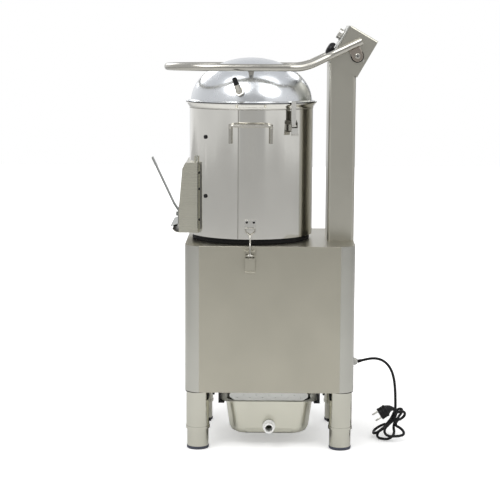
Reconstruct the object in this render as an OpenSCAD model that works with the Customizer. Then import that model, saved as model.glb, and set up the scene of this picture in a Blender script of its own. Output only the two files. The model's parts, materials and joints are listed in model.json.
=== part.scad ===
// Electric potato peeler: a stainless cabinet on four adjustable feet, a clamped peeling drum
// with an abrasive disc, a domed lid on a tube arm, a control column and a slide-out waste pan.
// Millimetres. X runs from the outlet (-X) to the column (+X), Y away from the front, Z up.

/* [Base cabinet] */
// Width of the cabinet, from the outlet side to the column side
base_w = 460; // [450:1:500]
// Depth of the cabinet, front to back
base_d = 400; // [390:1:440]
// Height of the cabinet box
base_h = 400; // [390:1:460]
// Height of the cabinet's underside above the floor
base_z = 164; // [158:1:190]
// Radius of the cabinet's upright corners
base_corner_r = 45; // [20:1:50]
// Thickness of the stainless sheet
sheet = 1.5; // [1:0.1:2]
// Height of the motor shelf above the cabinet's underside
shelf_h = 116; // [110:1:125]
// Thickness of the motor shelf
shelf_t = 6; // [4:0.5:8]

/* [Legs and feet] */
// Distance of each leg's axis in from the cabinet's left or right side
leg_in_x = 35; // [32:1:40]
// Distance of each leg's axis in from the cabinet's front or back
leg_in_y = 47; // [40:1:55]
// Radius of the inner foot tube
foot_r = 29.4; // [26:0.1:31]
// Wall of the leg sleeve
sleeve_wall = 2.1; // [1.5:0.1:3]
// Height of the sleeve's lower edge above the floor
sleeve_z = 56; // [50:1:70]
// Height of the rubber pad under each foot
pad_h = 8; // [6:0.5:12]
// Wall of the foot tube
foot_wall = 3; // [2:0.5:4]

/* [Drum] */
// Outer radius of the drum
drum_r = 170.7; // [168:0.1:174]
// Height of the drum, from its bottom edge to the top of its rim
drum_h = 364.4; // [355:0.1:380]
// Distance of the drum's axis from the cabinet's middle, towards the outlet
drum_off = 53.7; // [48:0.1:56]
// How far the flared rim stands out from the drum's wall
rim_out = 9.3; // [7:0.1:10]
// Height of the flared rim
rim_h = 16; // [10:1:20]
// Height of the rubber ring between the cabinet and the drum
seal_h = 14.6; // [10:0.1:20]
// How far the rubber ring's side lies inside the drum's wall
seal_inset = 7.9; // [6:0.1:10]
// Thickness of the abrasive lining on the drum's wall
liner_t = 4; // [2:0.5:5]
// Turn of the first pair of lining screws about the drum
liner_screw_turn = -45.5; // [-50:0.5:-40]

/* [Abrasive disc and drive] */
// Gap between the disc's edge and the lining
disc_gap = 2.2; // [2:0.1:5]
// Thickness of the disc's plate
disc_t = 6; // [5:0.5:8]
// Radius of the drive shaft
shaft_r = 12.5; // [11:0.5:14]
// Outer radius of the shaft bearings
bearing_r = 26; // [24:0.5:27]
// Height of a shaft bearing
bearing_h = 15; // [12:1:18]
// Groove radius of the big pulley on the drive shaft
big_groove_r = 80; // [74:1:82]
// Groove radius of the small pulley on the motor
small_groove_r = 20; // [18:1:24]
// Depth of the belt
belt_t = 7; // [5:0.5:8]
// Width of the belt
belt_w = 10; // [8:0.5:12]
// Distance of the motor's axis in from the cabinet's right side
motor_in = 72; // [70:1:74]
// Radius of the motor's body
motor_r = 62; // [55:1:63]
// Height of the motor's body
motor_h = 208; // [180:1:215]
// Radius of the catch basin under the disc
basin_r = 147; // [145:0.5:148]
// Depth of the catch basin
basin_h = 59; // [50:1:65]
// Outer radius of the drain pipe
drain_r = 20; // [16:1:20]
// Gap between the drain pipe and the motor
drain_gap = 12; // [11:0.5:14]

/* [Lid and arm] */
// Radius of the lid's dome at its foot
dome_r = 167; // [160:0.5:168]
// Height of the lid's dome
dome_h = 119; // [105:1:125]
// Thickness of the lid's sheet
lid_t = 1.2; // [1:0.1:2]
// Width of the lid's flat flange outside the dome
lid_flange = 9; // [7:0.5:10]
// Radius of the arm's tube
tube_r = 10; // [8:0.5:11]
// Height of the arm's loop above the drum's rim
loop_h = 94; // [88:1:100]
// Distance of the loop's sides from the middle
loop_y = 150; // [146:1:160]
// Distance of the loop's outer end from the drum's axis
loop_reach = 241; // [235:1:260]
// Distance along the arm from the pivot to its bend
arm_bend = 141; // [135:1:150]
// Length of the smooth bend in the arm
bend_len = 56; // [40:1:70]
// Radius of the pivot bolt
pivot_r = 5; // [4:0.5:6]
// Radius of the rounded lug under the arm
lug_r = 15; // [13:0.5:16]

/* [Column and control head] */
// Width of the column across the machine
col_w = 73; // [68:1:80]
// Depth of the column, front to back
col_d = 156; // [150:1:164]
// Height of the column's front edge above the cabinet
col_h = 488.5; // [480:0.5:505]
// Radius of the column's upright corners
col_r = 8; // [4:1:12]
// Lean of the control head
head_tilt = 30; // [25:1:35]
// Length of the head's front face
head_len = 112; // [108:1:125]
// Depth of the head
head_dep = 84; // [82:1:95]
// Thickness of the control panel in front of the head
panel_t = 5; // [4:0.5:8]
// Radius of the timer's knob
knob_r = 14; // [12:0.5:15]
// Height of the timer's knob
knob_h = 12; // [10:0.5:16]
// Radius of the stop button's cap
button_r = 20; // [16:0.5:22]
// Travel of the stop button
button_travel = 3; // [2:0.5:4]

/* [Outlet] */
// Distance of the chute's side plates from the middle
chute_y = 94; // [86:1:98]
// Height of the outlet's lower edge above the drum's bottom
outlet_z = 14; // [12:1:18]
// Height of the outlet
outlet_h = 172; // [165:1:180]
// How far the side plates stand out in front of the drum
chute_out = 26; // [24:0.5:30]
// Radius of the door's hinge pin
door_pin_r = 3; // [2.5:0.1:3.5]
// Thickness of the door's plate
door_t = 2.5; // [2:0.1:3]
// Width of the door's handle strap
strap_w = 40; // [30:1:50]

/* [Handles and latches] */
// Radius of the drum handle's rod
grip_r = 4.25; // [3.5:0.05:5]
// Length of the drum handle's grip
grip_len = 110; // [100:1:120]
// Distance of the grip from the drum's wall
grip_out = 38; // [34:1:42]
// Turn of the lid latches about the drum, from straight in front
lid_latch_turn = 38.5; // [34:0.5:45]
// Thickness of the latch plates
latch_t = 1.5; // [1.2:0.1:2]
// Radius of the latch pins
latch_pin_r = 2; // [1.5:0.1:2.2]

/* [Waste pan] */
// Width of the pan's rim
pan_w = 265; // [262:0.5:266]
// Length of the pan's rim, front to back
pan_l = 325; // [300:1:330]
// Depth of the pan
pan_h = 98; // [80:1:100]
// Width of the pan's flat rim
pan_rim = 12.5; // [10:0.5:14]
// How much each side of the pan draws in down to its bottom
pan_taper = 13; // [8:1:16]
// Radius of the strainer plate
strainer_r = 112; // [105:1:113]
// Distance between neighbouring holes in the strainer plate
strainer_pitch = 36; // [30:1:40]
// Radius of the strainer's holes
strainer_hole_r = 2.6; // [2:0.1:4]
// Outer radius of the drain spigot
spigot_r = 14; // [12:0.5:15]
// Bore radius of the drain spigot
spigot_bore_r = 10; // [8:0.5:11]

/* [Mains lead] */
// Diameter of the mains lead
cord_d = 7.5; // [7:0.1:8]
// Height of the lead's gland above the cabinet's underside
gland_h = 46; // [40:1:60]

/* [Hidden] */
$fn = 64;

// Clearances
eps = 0.01;         // overlap of a cut with the face that it opens
cut_reach = 300;    // reach of a cut that takes away all that lies beyond a face
fit = 0.3;          // gap between pieces that lie beside each other
run_fit = 0.05;     // radial clearance of a pin or shaft in its bore
slide_fit = 1;      // gap beside a piece that swings or slides

// Heights above the floor
top_z = base_z + base_h;
shelf_z = base_z + shelf_h;
drum_z = top_z + seal_h;
rim_z = drum_z + drum_h;
disc_z = drum_z + disc_t;
lid_z = rim_z + fit;
arm_z = rim_z + loop_h;
basin_z = top_z - basin_h;
pan_ledge_z = base_z - 34;
pan_z = pan_ledge_z + fit;
strainer_z = pan_z - 22;

// Places across the machine
drum_x = -drum_off;
leg_x = base_w / 2 - leg_in_x;
leg_y = base_d / 2 - leg_in_y;
motor_x = base_w / 2 - motor_in;
drain_x = motor_x - motor_r - drain_gap - drain_r;
col_x = base_w / 2 - col_w;
inner_r = drum_r - sheet;
liner_r = inner_r - liner_t;
disc_r = liner_r - disc_gap;
opening_y = chute_y - 2;
chute_x = drum_x - drum_r - chute_out;

// Control head: its lower front edge, its width and the arm's pivot in its own frame
head_gap = sheet + fit;
head_w = col_d + 2 * head_gap;
head_x = col_x + 2.5;
head_z = top_z + col_h;
function head_point(u, v) = [head_x + u * cos(head_tilt) + v * sin(head_tilt),
    head_z - u * sin(head_tilt) + v * cos(head_tilt)];
function head_place(u, v) = let (p = head_point(u, v)) [p[0], 0, p[1]];
pivot_u = 55;
pivot_v = 50;
pivot = head_point(pivot_u, pivot_v);
arm_end_u = 45;
arm_end_v = 90;
arm_end = head_point(arm_end_u, arm_end_v);
arm_gap = 2.2;
arm_y = head_w / 2 + arm_gap + tube_r;
lug_t = 6;

// Outlet door: hinge pin and the door's lower edge
door_x = drum_x - drum_r - 2;
door_z = drum_z + outlet_z + outlet_h - 14;
door_foot_z = drum_z + 33.5;
door_face_x = chute_x - door_t;
strap_tip = [door_x - 103.6, drum_z + 207.4];

// Row frame: the middle of the whole machine, without its lead
low_x = strap_tip[0];
high_x = head_point(head_dep, head_len)[0];
row_x = -(low_x + high_x) / 2;

// Pulley pitch radii and the belt
belt_gap = 0.3;
big_belt_r = big_groove_r + belt_gap;
small_belt_r = small_groove_r + belt_gap;
belt_z = shelf_z - 26;
pulley_h = belt_w + 14;

// Toggle latches: pin distances from the face that they sit on
latch_pin_out = 8;
latch_crank_out = 12.4;
latch_plate_out = latch_crank_out + 4.6;

// Mains lead: middle line from the gland to the tied hank, heights above the gland
cord_r = cord_d / 2;
gland_z = base_z + gland_h;
hank_top = 70.2;
cord_route = [[250.2, 0, 0], [262, 0, 2.6], [276, -1, 6.5], [291, -2, 9.5], [306, -4, 9.5],
    [321, -6, 5], [334, -9, -4.5], [344, -12, -18], [351, -15, -36], [355, -18, -57],
    [357, -21, -80], [357, -23, -100], [356, -25, -118], [355, -26, hank_top + 0.1 - gland_z]];
plug_at = [329, -62, 84];
plug_tail = [[340.2, -60.43, 90.8], [346, -59.6, 91.8], [351, -58, 89.5], [354.5, -55.5, 84.5],
    [357, -51, 79.5], [359.5, -44, 75.5], [361, -36, hank_top + cord_r + 0.1],
    [361, -28, hank_top + cord_r + 0.1]];

steel = "#b9b7ae";
bright = "#d5d7d9";
black = "#1c1d20";
white = "#f2f2ee";

// ---- Shared shapes ----

module rounded(w, d, r) {
    square([w - 2 * r, d], center = true);
    square([w, d - 2 * r], center = true);
    for (x = [-1, 1], y = [-1, 1]) translate([x * (w / 2 - r), y * (d / 2 - r)]) circle(r);
}

module plate(w, d, r, t) linear_extrude(t) rounded(w, d, r);

module tube(outer, inner, h) difference() {
    cylinder(r = outer, h = h);
    translate([0, 0, -1]) cylinder(r = inner, h = h + 2);
}

module on_drum() translate([drum_x, 0, 0]) children();

// A frame on the drum's wall: x along the wall, -y outwards
module on_wall(turn) on_drum() rotate([0, 0, turn]) translate([0, -drum_r, 0]) children();

module both_sides() {
    children();
    mirror([0, 1, 0]) children();
}

module rear_side() mirror([0, 1, 0]) children();

module in_head() translate([head_x, 0, head_z]) rotate([0, head_tilt, 0]) children();

// A tube swept along a path, as one solid
function unit(v) = v / norm(v);
function heading(path, i) =
    unit(path[min(i + 1, len(path) - 1)] - path[max(i - 1, 0)]);
function uprights(path, up, i = 0, found = []) = i == len(path) ? found :
    let (t = heading(path, i), u = unit(up - (up * t) * t))
    uprights(path, u, i + 1, concat(found, [u]));

module sweep(path, r, sides, up) {
    us = uprights(path, up);
    last = len(path) - 1;
    points = [for (i = [0:last]) let (t = heading(path, i), s = cross(t, us[i]))
        for (k = [0:sides - 1]) path[i] + r * (cos(360 * k / sides) * us[i]
            + sin(360 * k / sides) * s)];
    walls = [for (i = [0:last - 1], k = [0:sides - 1]) let (n = (k + 1) % sides)
        [i * sides + k, (i + 1) * sides + k, (i + 1) * sides + n, i * sides + n]];
    foot = [[for (k = [0:sides - 1]) k]];
    head = [[for (k = [sides - 1:-1:0]) last * sides + k]];
    polyhedron(points, concat(walls, foot, head), convexity = 6);
}

// A path with its inner corners rounded over a length r
function rounded_path(path, r) = concat([path[0]],
    [for (i = [1:len(path) - 2], k = [0:4]) let (
        a = path[i] + r * unit(path[i - 1] - path[i]),
        b = path[i] + r * unit(path[i + 1] - path[i]), t = k / 4)
        (1 - t) * (1 - t) * a + 2 * t * (1 - t) * path[i] + t * t * b],
    [path[len(path) - 1]]);

// A bent plate from its outer side's points, going up: its inner side lies t towards +x
module bent_plate(points, t, width) {
    last = len(points) - 1;
    inner = [for (i = [last:-1:0]) let (
        d = unit(i > 0 ? points[i] - points[i - 1] : points[1] - points[0]),
        e = unit(i < last ? points[i + 1] - points[i] : points[i] - points[i - 1]))
        points[i] + t * [d[1] + e[1], -d[0] - e[0]] / (1 + d * e)];
    rotate([90, 0, 0]) linear_extrude(width, center = true) polygon(concat(points, inner));
}

// ---- Cabinet, floor and legs ----

module base_cabinet() color(steel) difference() {
    translate([0, 0, base_z]) plate(base_w, base_d, base_corner_r, base_h);
    translate([0, 0, base_z - 1])
        plate(base_w - 2 * sheet, base_d - 2 * sheet, base_corner_r - sheet, base_h - sheet + 1);
    on_drum() translate([0, 0, top_z - 5]) cylinder(r = basin_r + fit, h = 10);
    translate([col_x + col_w / 2, 0, top_z - 5]) cylinder(r = loom_r + 2, h = 10);
    translate([base_w / 2 - 5, 0, gland_z]) rotate([0, 90, 0]) cylinder(r = gland_r, h = 10);
}

module base_floor() color(steel) difference() {
    translate([0, 0, base_z])
        plate(base_w - 2 * sheet - 2 * fit, base_d - 2 * sheet - 2 * fit,
            base_corner_r - sheet - fit, sheet);
    translate([drain_x, 0, base_z - 1]) cylinder(r = drain_r + fit, h = sheet + 2);
}

sleeve_r = foot_r + fit + sleeve_wall;
bead_h = 7;
bead_out = 1.2;

module leg_sleeves() color(steel) for (x = [-1, 1], y = [-1, 1])
    translate([x * leg_x, y * leg_y, 0]) difference() {
        union() {
            translate([0, 0, sleeve_z]) cylinder(r = sleeve_r, h = base_z - sleeve_z);
            translate([0, 0, sleeve_z]) cylinder(r = sleeve_r + bead_out, h = bead_h);
        }
        translate([0, 0, sleeve_z - 1]) cylinder(r = foot_r + fit, h = base_z - sleeve_z + 2);
        translate([0, 0, screw_z]) rotate([0, -x * 90, 0])
            cylinder(r = clamp_screw_r, h = sleeve_r + 5);
    }

screw_z = sleeve_z + 22;
clamp_screw_r = 3;

module clamp_screw() {
    translate([foot_r + fit + 0.3, 0, 0]) rotate([0, 90, 0])
        cylinder(r = clamp_screw_r - run_fit, h = sleeve_wall);
    translate([sleeve_r + 0.3, 0, 0]) rotate([0, 90, 0]) cylinder(r = 5, h = 4, $fn = 6);
}

module leg_clamp_screws() color(black) for (x = [-1, 1], y = [-1, 1])
    translate([x * leg_x, y * leg_y, screw_z]) rotate([0, 0, x > 0 ? 180 : 0]) clamp_screw();

module foot(x, y) translate([x * leg_x, y * leg_y, 0]) {
    color(steel) difference() {
        translate([0, 0, pad_h]) cylinder(r = foot_r, h = base_z - pad_h - fit);
        translate([0, 0, pad_h + foot_wall])
            cylinder(r = foot_r - foot_wall, h = base_z);
    }
    color("#3a3f4a") {
        cylinder(r1 = foot_r - 1, r2 = foot_r + 1, h = 2);
        translate([0, 0, 2]) cylinder(r = foot_r + 1, h = pad_h - 2);
    }
}

// ---- Catch basin, shaft and motor, inside the cabinet ----

collar_r = bearing_r + 10;
collar_h = basin_h - 8;
housing_r = collar_r - sheet - 0.5;
housing_top = top_z - 12;

module catch_basin() color(bright) {
    on_drum() difference() {
        union() {
            translate([0, 0, basin_z]) tube(basin_r, basin_r - sheet, basin_h);
            translate([0, 0, basin_z]) tube(basin_r - eps, collar_r - sheet, sheet);
            translate([0, 0, basin_z]) tube(collar_r, collar_r - sheet, collar_h);
            translate([0, 0, top_z]) tube(basin_r + 3.5, basin_r - sheet, sheet);
        }
        translate([drain_x - drum_x, 0, basin_z - 1]) cylinder(r = drain_r - sheet, h = sheet + 2);
    }
    translate([drain_x, 0, base_z - 14]) tube(drain_r, drain_r - sheet, basin_z - base_z + 14);
}

module bearing_housing() color("#8d9196") on_drum() difference() {
    union() {
        translate([0, 0, shelf_z + shelf_t]) cylinder(r = housing_r, h = housing_top - shelf_z - shelf_t);
        translate([0, 0, shelf_z + shelf_t]) cylinder(r = housing_r + 20, h = 8);
    }
    translate([0, 0, shelf_z]) cylinder(r = bearing_r, h = base_h);
    for (a = [45:90:359]) rotate([0, 0, a]) translate([housing_r + 11, 0, shelf_z])
        cylinder(r = 4.5, h = 20);
}

module shaft_bearings() color("#9a9da1") on_drum() {
    for (z = [shelf_z + shelf_t + 2, housing_top - bearing_h - 14])
        translate([0, 0, z]) tube(bearing_r, shaft_r + run_fit, bearing_h);
    translate([0, 0, housing_top - 10]) tube(bearing_r, shaft_r + run_fit, 7);
}

module motor_shelf() color(steel) difference() {
    intersection() {
        translate([0, 0, shelf_z])
            plate(base_w - 2 * sheet, base_d - 2 * sheet, base_corner_r - sheet, shelf_t);
        translate([-175, -base_d / 2, shelf_z - 1])
            cube([base_w / 2 + 175 - sheet - 8, base_d, shelf_t + 2]);
    }
    translate([mains_at[0], mains_at[1], shelf_z - 1]) cylinder(r = 8, h = shelf_t + 2);
    on_drum() translate([0, 0, shelf_z - 1]) cylinder(r = shaft_r + 6, h = shelf_t + 2);
    translate([drain_x, 0, shelf_z - 1]) cylinder(r = drain_r + slide_fit, h = shelf_t + 2);
    translate([motor_x, 0, shelf_z - 1]) cylinder(r = motor_shaft_r + 4, h = shelf_t + 2);
}

motor_shaft_r = 9.5;
motor_z = shelf_z + shelf_t;
fan_h = 28;
motor_box = [44, 26, 60];

module motor_body() color("#5d6670") translate([motor_x, 0, motor_z]) {
    difference() {
        union() {
            cylinder(r = motor_r, h = motor_h);
            for (a = [0:15:359]) rotate([0, 0, a]) translate([motor_r - 1, -1, 25])
                cube([3.5, 2, motor_h - 50]);
            translate([-motor_box[0] / 2, -motor_r - motor_box[1] + 5, 90]) cube(motor_box);
        }
        translate([0, 0, -1]) cylinder(r = motor_shaft_r + run_fit, h = 60);
    }
    translate([0, 0, motor_h + fit]) difference() {
        cylinder(r = motor_r - 1, h = fan_h);
        translate([0, 0, -1]) cylinder(r = motor_r - 3, h = fan_h - 1);
        for (a = [0:30:359]) rotate([0, 0, a]) translate([25, -2, 0]) cube([24, 4, fan_h + 5]);
    }
}

// V-grooved pulley, its groove's middle at z = 0
module pulley(groove_r, bore_r) rotate_extrude($fn = 96) polygon([
    [bore_r, -pulley_h / 2], [groove_r + belt_t + 1, -pulley_h / 2],
    [groove_r + belt_t + 1, -belt_w / 2 - 1.5], [groove_r, -belt_w / 2 - 0.4],
    [groove_r, belt_w / 2 + 0.4], [groove_r + belt_t + 1, belt_w / 2 + 1.5],
    [groove_r + belt_t + 1, pulley_h / 2], [bore_r, pulley_h / 2]]);

module belt_loop(grow, h) linear_extrude(h, center = true) hull() {
    translate([drum_x, 0]) circle(big_belt_r + grow, $fn = 96);
    translate([motor_x, 0]) circle(small_belt_r + grow, $fn = 48);
}

module drive_belt() color(black) translate([0, 0, belt_z]) difference() {
    belt_loop(belt_t, belt_w);
    belt_loop(0, belt_w + 2);
}

module drive_pulley() color("#8d9196") on_drum() translate([0, 0, belt_z])
    pulley(big_groove_r, shaft_r + run_fit);

module drive_shaft() color("#a8abad") on_drum() translate([0, 0, belt_z - pulley_h / 2 - 6])
    cylinder(r = shaft_r, h = disc_z - belt_z + pulley_h / 2 + 6);

module motor_pulley() {
    color("#8d9196") translate([motor_x, 0, belt_z]) pulley(small_groove_r, motor_shaft_r + run_fit);
    color("#a8abad") translate([motor_x, 0, belt_z - pulley_h / 2])
        cylinder(r = motor_shaft_r, h = motor_z - belt_z + pulley_h / 2 + 55);
}

skirt_r = collar_r + 6;
hub_r = shaft_r + 9;

module abrasive_disc() on_drum() {
    color(steel) difference() {
        union() {
            translate([0, 0, disc_z]) cylinder(r = disc_r, h = disc_t, $fn = 128);
            translate([0, 0, housing_top + 6]) cylinder(r = hub_r, h = disc_z - housing_top - 6 + eps);
            translate([0, 0, basin_z + collar_h - 6])
                tube(skirt_r, skirt_r - 3, disc_z - basin_z - collar_h + 6 + eps);
        }
        translate([0, 0, housing_top]) cylinder(r = shaft_r + run_fit, h = disc_z - housing_top);
    }
    color("#6b6a66") difference() {
        union() {
            translate([0, 0, disc_z + disc_t]) cylinder(r = disc_r - 2, h = 3, $fn = 128);
            for (a = [0:120:359]) rotate([0, 0, a]) translate([95, 0, disc_z + disc_t + 3])
                disc_wave();
        }
    }
}

// One of the disc's raised waves: a flat-bottomed round bar
module disc_wave() intersection() {
    translate([0, 0, -6]) rotate([0, 90, 0]) cylinder(r = 16, h = 110, center = true);
    translate([-60, -20, -1]) cube([120, 40, 20]);
}

// ---- Waste pan ----

module pan_rails() color("#2b2c2e") for (s = [-1, 1]) on_side(s) {
    translate([pan_w / 2 + 3, -pan_l / 2 - 5, pan_ledge_z - 2])
        cube([3, pan_l + 10, base_z - pan_ledge_z + 2]);
    translate([pan_w / 2 - pan_rim + 2, -pan_l / 2 - 5, pan_ledge_z - 2]) cube([pan_rim + 2, pan_l + 10, 2]);
    translate([pan_w / 2 + 5, -pan_l / 2 - 5, base_z - 2]) cube([12, pan_l + 10, 2]);
}

module on_side(s) if (s > 0) children(); else mirror([1, 0, 0]) children();

pan_corner = 42;
pan_bowl_w = pan_w - 2 * pan_rim;
pan_bowl_l = pan_l - 2 * pan_rim;
pan_sheet = 1;

module pan_bowl(inset, z0) hull() {
    translate([0, 0, pan_z]) linear_extrude(1)
        rounded(pan_bowl_w - 2 * inset, pan_bowl_l - 2 * inset, pan_corner - inset, $fn = 32);
    translate([0, 0, z0 + 18]) linear_extrude(1)
        rounded(pan_bowl_w - 2 * pan_taper * 0.82 - 2 * inset,
            pan_bowl_l - 2 * pan_taper * 0.82 - 2 * inset, pan_corner - inset, $fn = 32);
    translate([0, 0, z0 + 5]) linear_extrude(1)
        rounded(pan_bowl_w - 2 * pan_taper - 8 - 2 * inset,
            pan_bowl_l - 2 * pan_taper - 8 - 2 * inset, pan_corner - inset, $fn = 32);
    translate([0, 0, z0]) linear_extrude(1)
        rounded(pan_bowl_w - 2 * pan_taper - 26 - 2 * inset,
            pan_bowl_l - 2 * pan_taper - 26 - 2 * inset, pan_corner - 8 - inset, $fn = 32);
}

pan_foot_z = pan_z + pan_sheet - pan_h;
spigot_z = pan_foot_z + 25;
spigot_y = -pan_bowl_l / 2 + pan_taper * 0.8;

module waste_pan() color(bright) difference() {
    union() {
        pan_bowl(0, pan_foot_z);
        translate([0, 0, pan_z]) plate(pan_w, pan_l, pan_corner + pan_rim - 22, pan_sheet);
    }
    translate([0, 0, pan_sheet]) pan_bowl(pan_sheet, pan_foot_z);
    translate([0, spigot_y - 20, spigot_z]) rotate([-90, 0, 0]) cylinder(r = spigot_bore_r + 1.5, h = 40);
}

module pan_spigot() color(white) translate([0, spigot_y, spigot_z]) rotate([90, 0, 0]) difference() {
    union() {
        translate([0, 0, -6]) cylinder(r = spigot_bore_r + 1.2, h = 12);
        translate([0, 0, 4.2]) cylinder(r = spigot_r + 3.5, h = 6);
        translate([0, 0, 4.2]) cylinder(r = spigot_r, h = 31);
    }
    translate([0, 0, -7]) cylinder(r = spigot_bore_r, h = 50);
}

strainer_leg_x = 62;

module strainer_plate() color(bright) {
    difference() {
        translate([0, 0, strainer_z]) cylinder(r = strainer_r, h = 1.5);
        for (i = [-3:3], j = [-3:3]) {
            x = (i + (j % 2 == 0 ? 0 : 0.5)) * strainer_pitch;
            y = j * strainer_pitch * sqrt(3) / 2;
            if (norm([x, y]) < strainer_r - 2 * strainer_hole_r) translate([x, y, strainer_z - 1])
                cylinder(r = strainer_hole_r, h = 4, $fn = 16);
        }
    }
    for (x = [-1, 1], y = [-1, 1]) translate([x * strainer_leg_x, y * strainer_leg_x,
        pan_foot_z + pan_sheet + fit])
        cylinder(r = 3, h = strainer_z - pan_foot_z - pan_sheet - fit + eps, $fn = 24);
}

// ---- Drum ----

module drum_seal_ring() color(black) on_drum() translate([0, 0, top_z])
    tube(drum_r - seal_inset, basin_r + 4, seal_h);

module outlet_cut(grow) translate([drum_x - drum_r - 20, -opening_y + grow, drum_z + outlet_z])
    cube([120, 2 * opening_y - 2 * grow, outlet_h]);

module drum_shell() color(steel) difference() {
    on_drum() rotate_extrude($fn = 128) polygon([
        [drum_r - 16, drum_z], [drum_r, drum_z], [drum_r, rim_z - rim_h],
        [drum_r + rim_out - 2, rim_z - 4], [drum_r + rim_out, rim_z - 4],
        [drum_r + rim_out, rim_z], [inner_r, rim_z], [inner_r, drum_z + 2],
        [drum_r - 16, drum_z + 2]]);
    outlet_cut(0);
    screw_places() rotate([-90, 0, 0]) translate([0, 0, -5]) cylinder(r = liner_screw_r, h = 30);
}

liner_screw_r = 3;

module abrasive_liner() color("#6b6a66") difference() {
    on_drum() translate([0, 0, disc_z + disc_t + 2])
        tube(inner_r - 0.1, liner_r, rim_z - disc_z - disc_t - 40);
    outlet_cut(0);
    screw_places() rotate([-90, 0, 0]) translate([0, 0, -5]) cylinder(r = liner_screw_r, h = 30);
}

module screw_places() for (turn = [0, 180], z = [drum_z + 112, drum_z + 272])
    on_wall(liner_screw_turn + turn) translate([0, 0, z]) children();

module liner_screws() color(black) screw_places() {
    rotate([90, 0, 0]) translate([0, 0, 0.2]) cylinder(r = 5.5, h = 3);
    rotate([-90, 0, 0]) translate([0, 0, -0.3])
        cylinder(r = liner_screw_r - run_fit, h = sheet + liner_t);
}

grip_z = drum_z + 307;
grip_leg = 50;
grip_bend = 11;

module drum_handles() color(bright) both_sides() on_drum() {
    out = drum_r + grip_out;
    half = grip_len / 2;
    wall = sqrt(drum_r * drum_r - half * half) + grip_r + 0.4;
    sweep(rounded_path([[-half, -wall, grip_z - grip_leg], [-half, -wall, grip_z],
        [-half, -out, grip_z], [half, -out, grip_z], [half, -wall, grip_z],
        [half, -wall, grip_z - grip_leg]], grip_bend), grip_r, 16, [0, -1, 0]);
}

// ---- Toggle latches ----

lid_latch_z = rim_z - 51;
lid_lever_w = 22;
lid_strap_w = 16;
base_latch_z = top_z - 12;
base_lever_w = 27;
crank_drop_lid = 10;
crank_drop_base = 12;

// Fixed plate with two ears and the lever's pin, on a face at y = 0, pin at z = 0
module latch_base(w, up, down) {
    translate([-w / 2, -latch_t - 0.2, -down]) cube([w, latch_t, up + down]);
    for (s = [-1, 1]) translate([s * (w / 2 - latch_t / 2), 0, 0]) difference() {
        translate([-latch_t / 2, -latch_pin_out - 3.5, -5])
            cube([latch_t, latch_pin_out + 3.3 - latch_t, 10]);
    }
    translate([-w / 2 + eps, -latch_pin_out, 0]) rotate([0, 90, 0])
        cylinder(r = latch_pin_r, h = w - 2 * eps);
}

// Lever: cheeks bored for the pin, a crank pin below it and a plate with a curled end
module latch_lever(w, drop, len) {
    for (s = [-1, 1]) translate([s * (w / 2 - latch_t / 2), 0, 0]) difference() {
        union() {
            translate([-latch_t / 2, -latch_pin_out, 0]) rotate([0, 90, 0])
                cylinder(r = 4.5, h = latch_t);
            translate([-latch_t / 2, -latch_plate_out - eps, -drop - 12])
                cube([latch_t, latch_plate_out - latch_pin_out + 3, drop + 12]);
        }
        translate([-5, -latch_pin_out, 0]) rotate([0, 90, 0])
            cylinder(r = latch_pin_r + run_fit, h = 10);
    }
    translate([-w / 2 + eps, -latch_crank_out, -drop]) rotate([0, 90, 0])
        cylinder(r = latch_pin_r, h = w - 2 * eps);
    translate([-w / 2, -latch_plate_out - latch_t, -drop - 5 - len]) cube([w, latch_t, len]);
    translate([-w / 2, -latch_plate_out - latch_t - 1, -drop - 5 - len]) rotate([0, 90, 0])
        cylinder(r = 2.5, h = w);
}

module lid_latch_lever() color(bright) on_wall(lid_latch_turn) translate([0, 0, lid_latch_z])
    latch_lever(lid_lever_w, crank_drop_lid, 18);

// Hook strap of a lid latch, from the crank pin up and over the lid's flange
module lid_latch_hook() color(bright) on_wall(lid_latch_turn) {
    crank_z = lid_latch_z - crank_drop_lid;
    claw_z = lid_z + lid_t + 1;
    strap = rim_out + 2.5;
    difference() {
        union() {
            translate([-lid_strap_w / 2, -latch_crank_out, crank_z]) rotate([0, 90, 0])
                cylinder(r = 3.6, h = lid_strap_w);
            translate([-lid_strap_w / 2, -strap - 2, crank_z]) cube([lid_strap_w, 2, claw_z + 2 - crank_z]);
            translate([-lid_strap_w / 2, -strap - 2, claw_z]) cube([lid_strap_w, strap + 1, 2]);
        }
        translate([-lid_strap_w, -latch_crank_out, crank_z]) rotate([0, 90, 0])
            cylinder(r = latch_pin_r + run_fit, h = 2 * lid_strap_w);
    }
}

catch_z = drum_z + 31;
catch_w = 18;
bar_out = latch_t + 0.5 + latch_pin_r;

module drum_latch_plates() color(bright) both_sides() {
    on_wall(lid_latch_turn) translate([0, 0, lid_latch_z])
        latch_base(lid_lever_w + 2 * latch_t + 1.2, 30, 26);
    on_wall(0) {
        translate([-16, -latch_t - 0.2, catch_z - 6]) cube([32, latch_t, 28]);
        for (x = [-9.5, 9.5]) translate([x, -latch_t - 0.2 + eps, catch_z + 16]) rotate([90, 0, 0])
            cylinder(r = 3.2, h = 2);
        translate([-catch_w / 2, -bar_out - 8, catch_z - 4]) cube([catch_w, bar_out + 8 - latch_t, 2]);
        translate([-catch_w / 2, -bar_out - 8, catch_z - 4]) cube([catch_w, 1.5, 4]);
    }
}

module on_front() translate([drum_x, -base_d / 2, base_latch_z]) children();

module base_latch_plates() color(bright) both_sides() on_front()
    latch_base(base_lever_w + 2 * latch_t + 1.2, 8, 54);

module base_latch_lever() color(bright) on_front()
    latch_lever(base_lever_w, crank_drop_base, 38);

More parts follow.
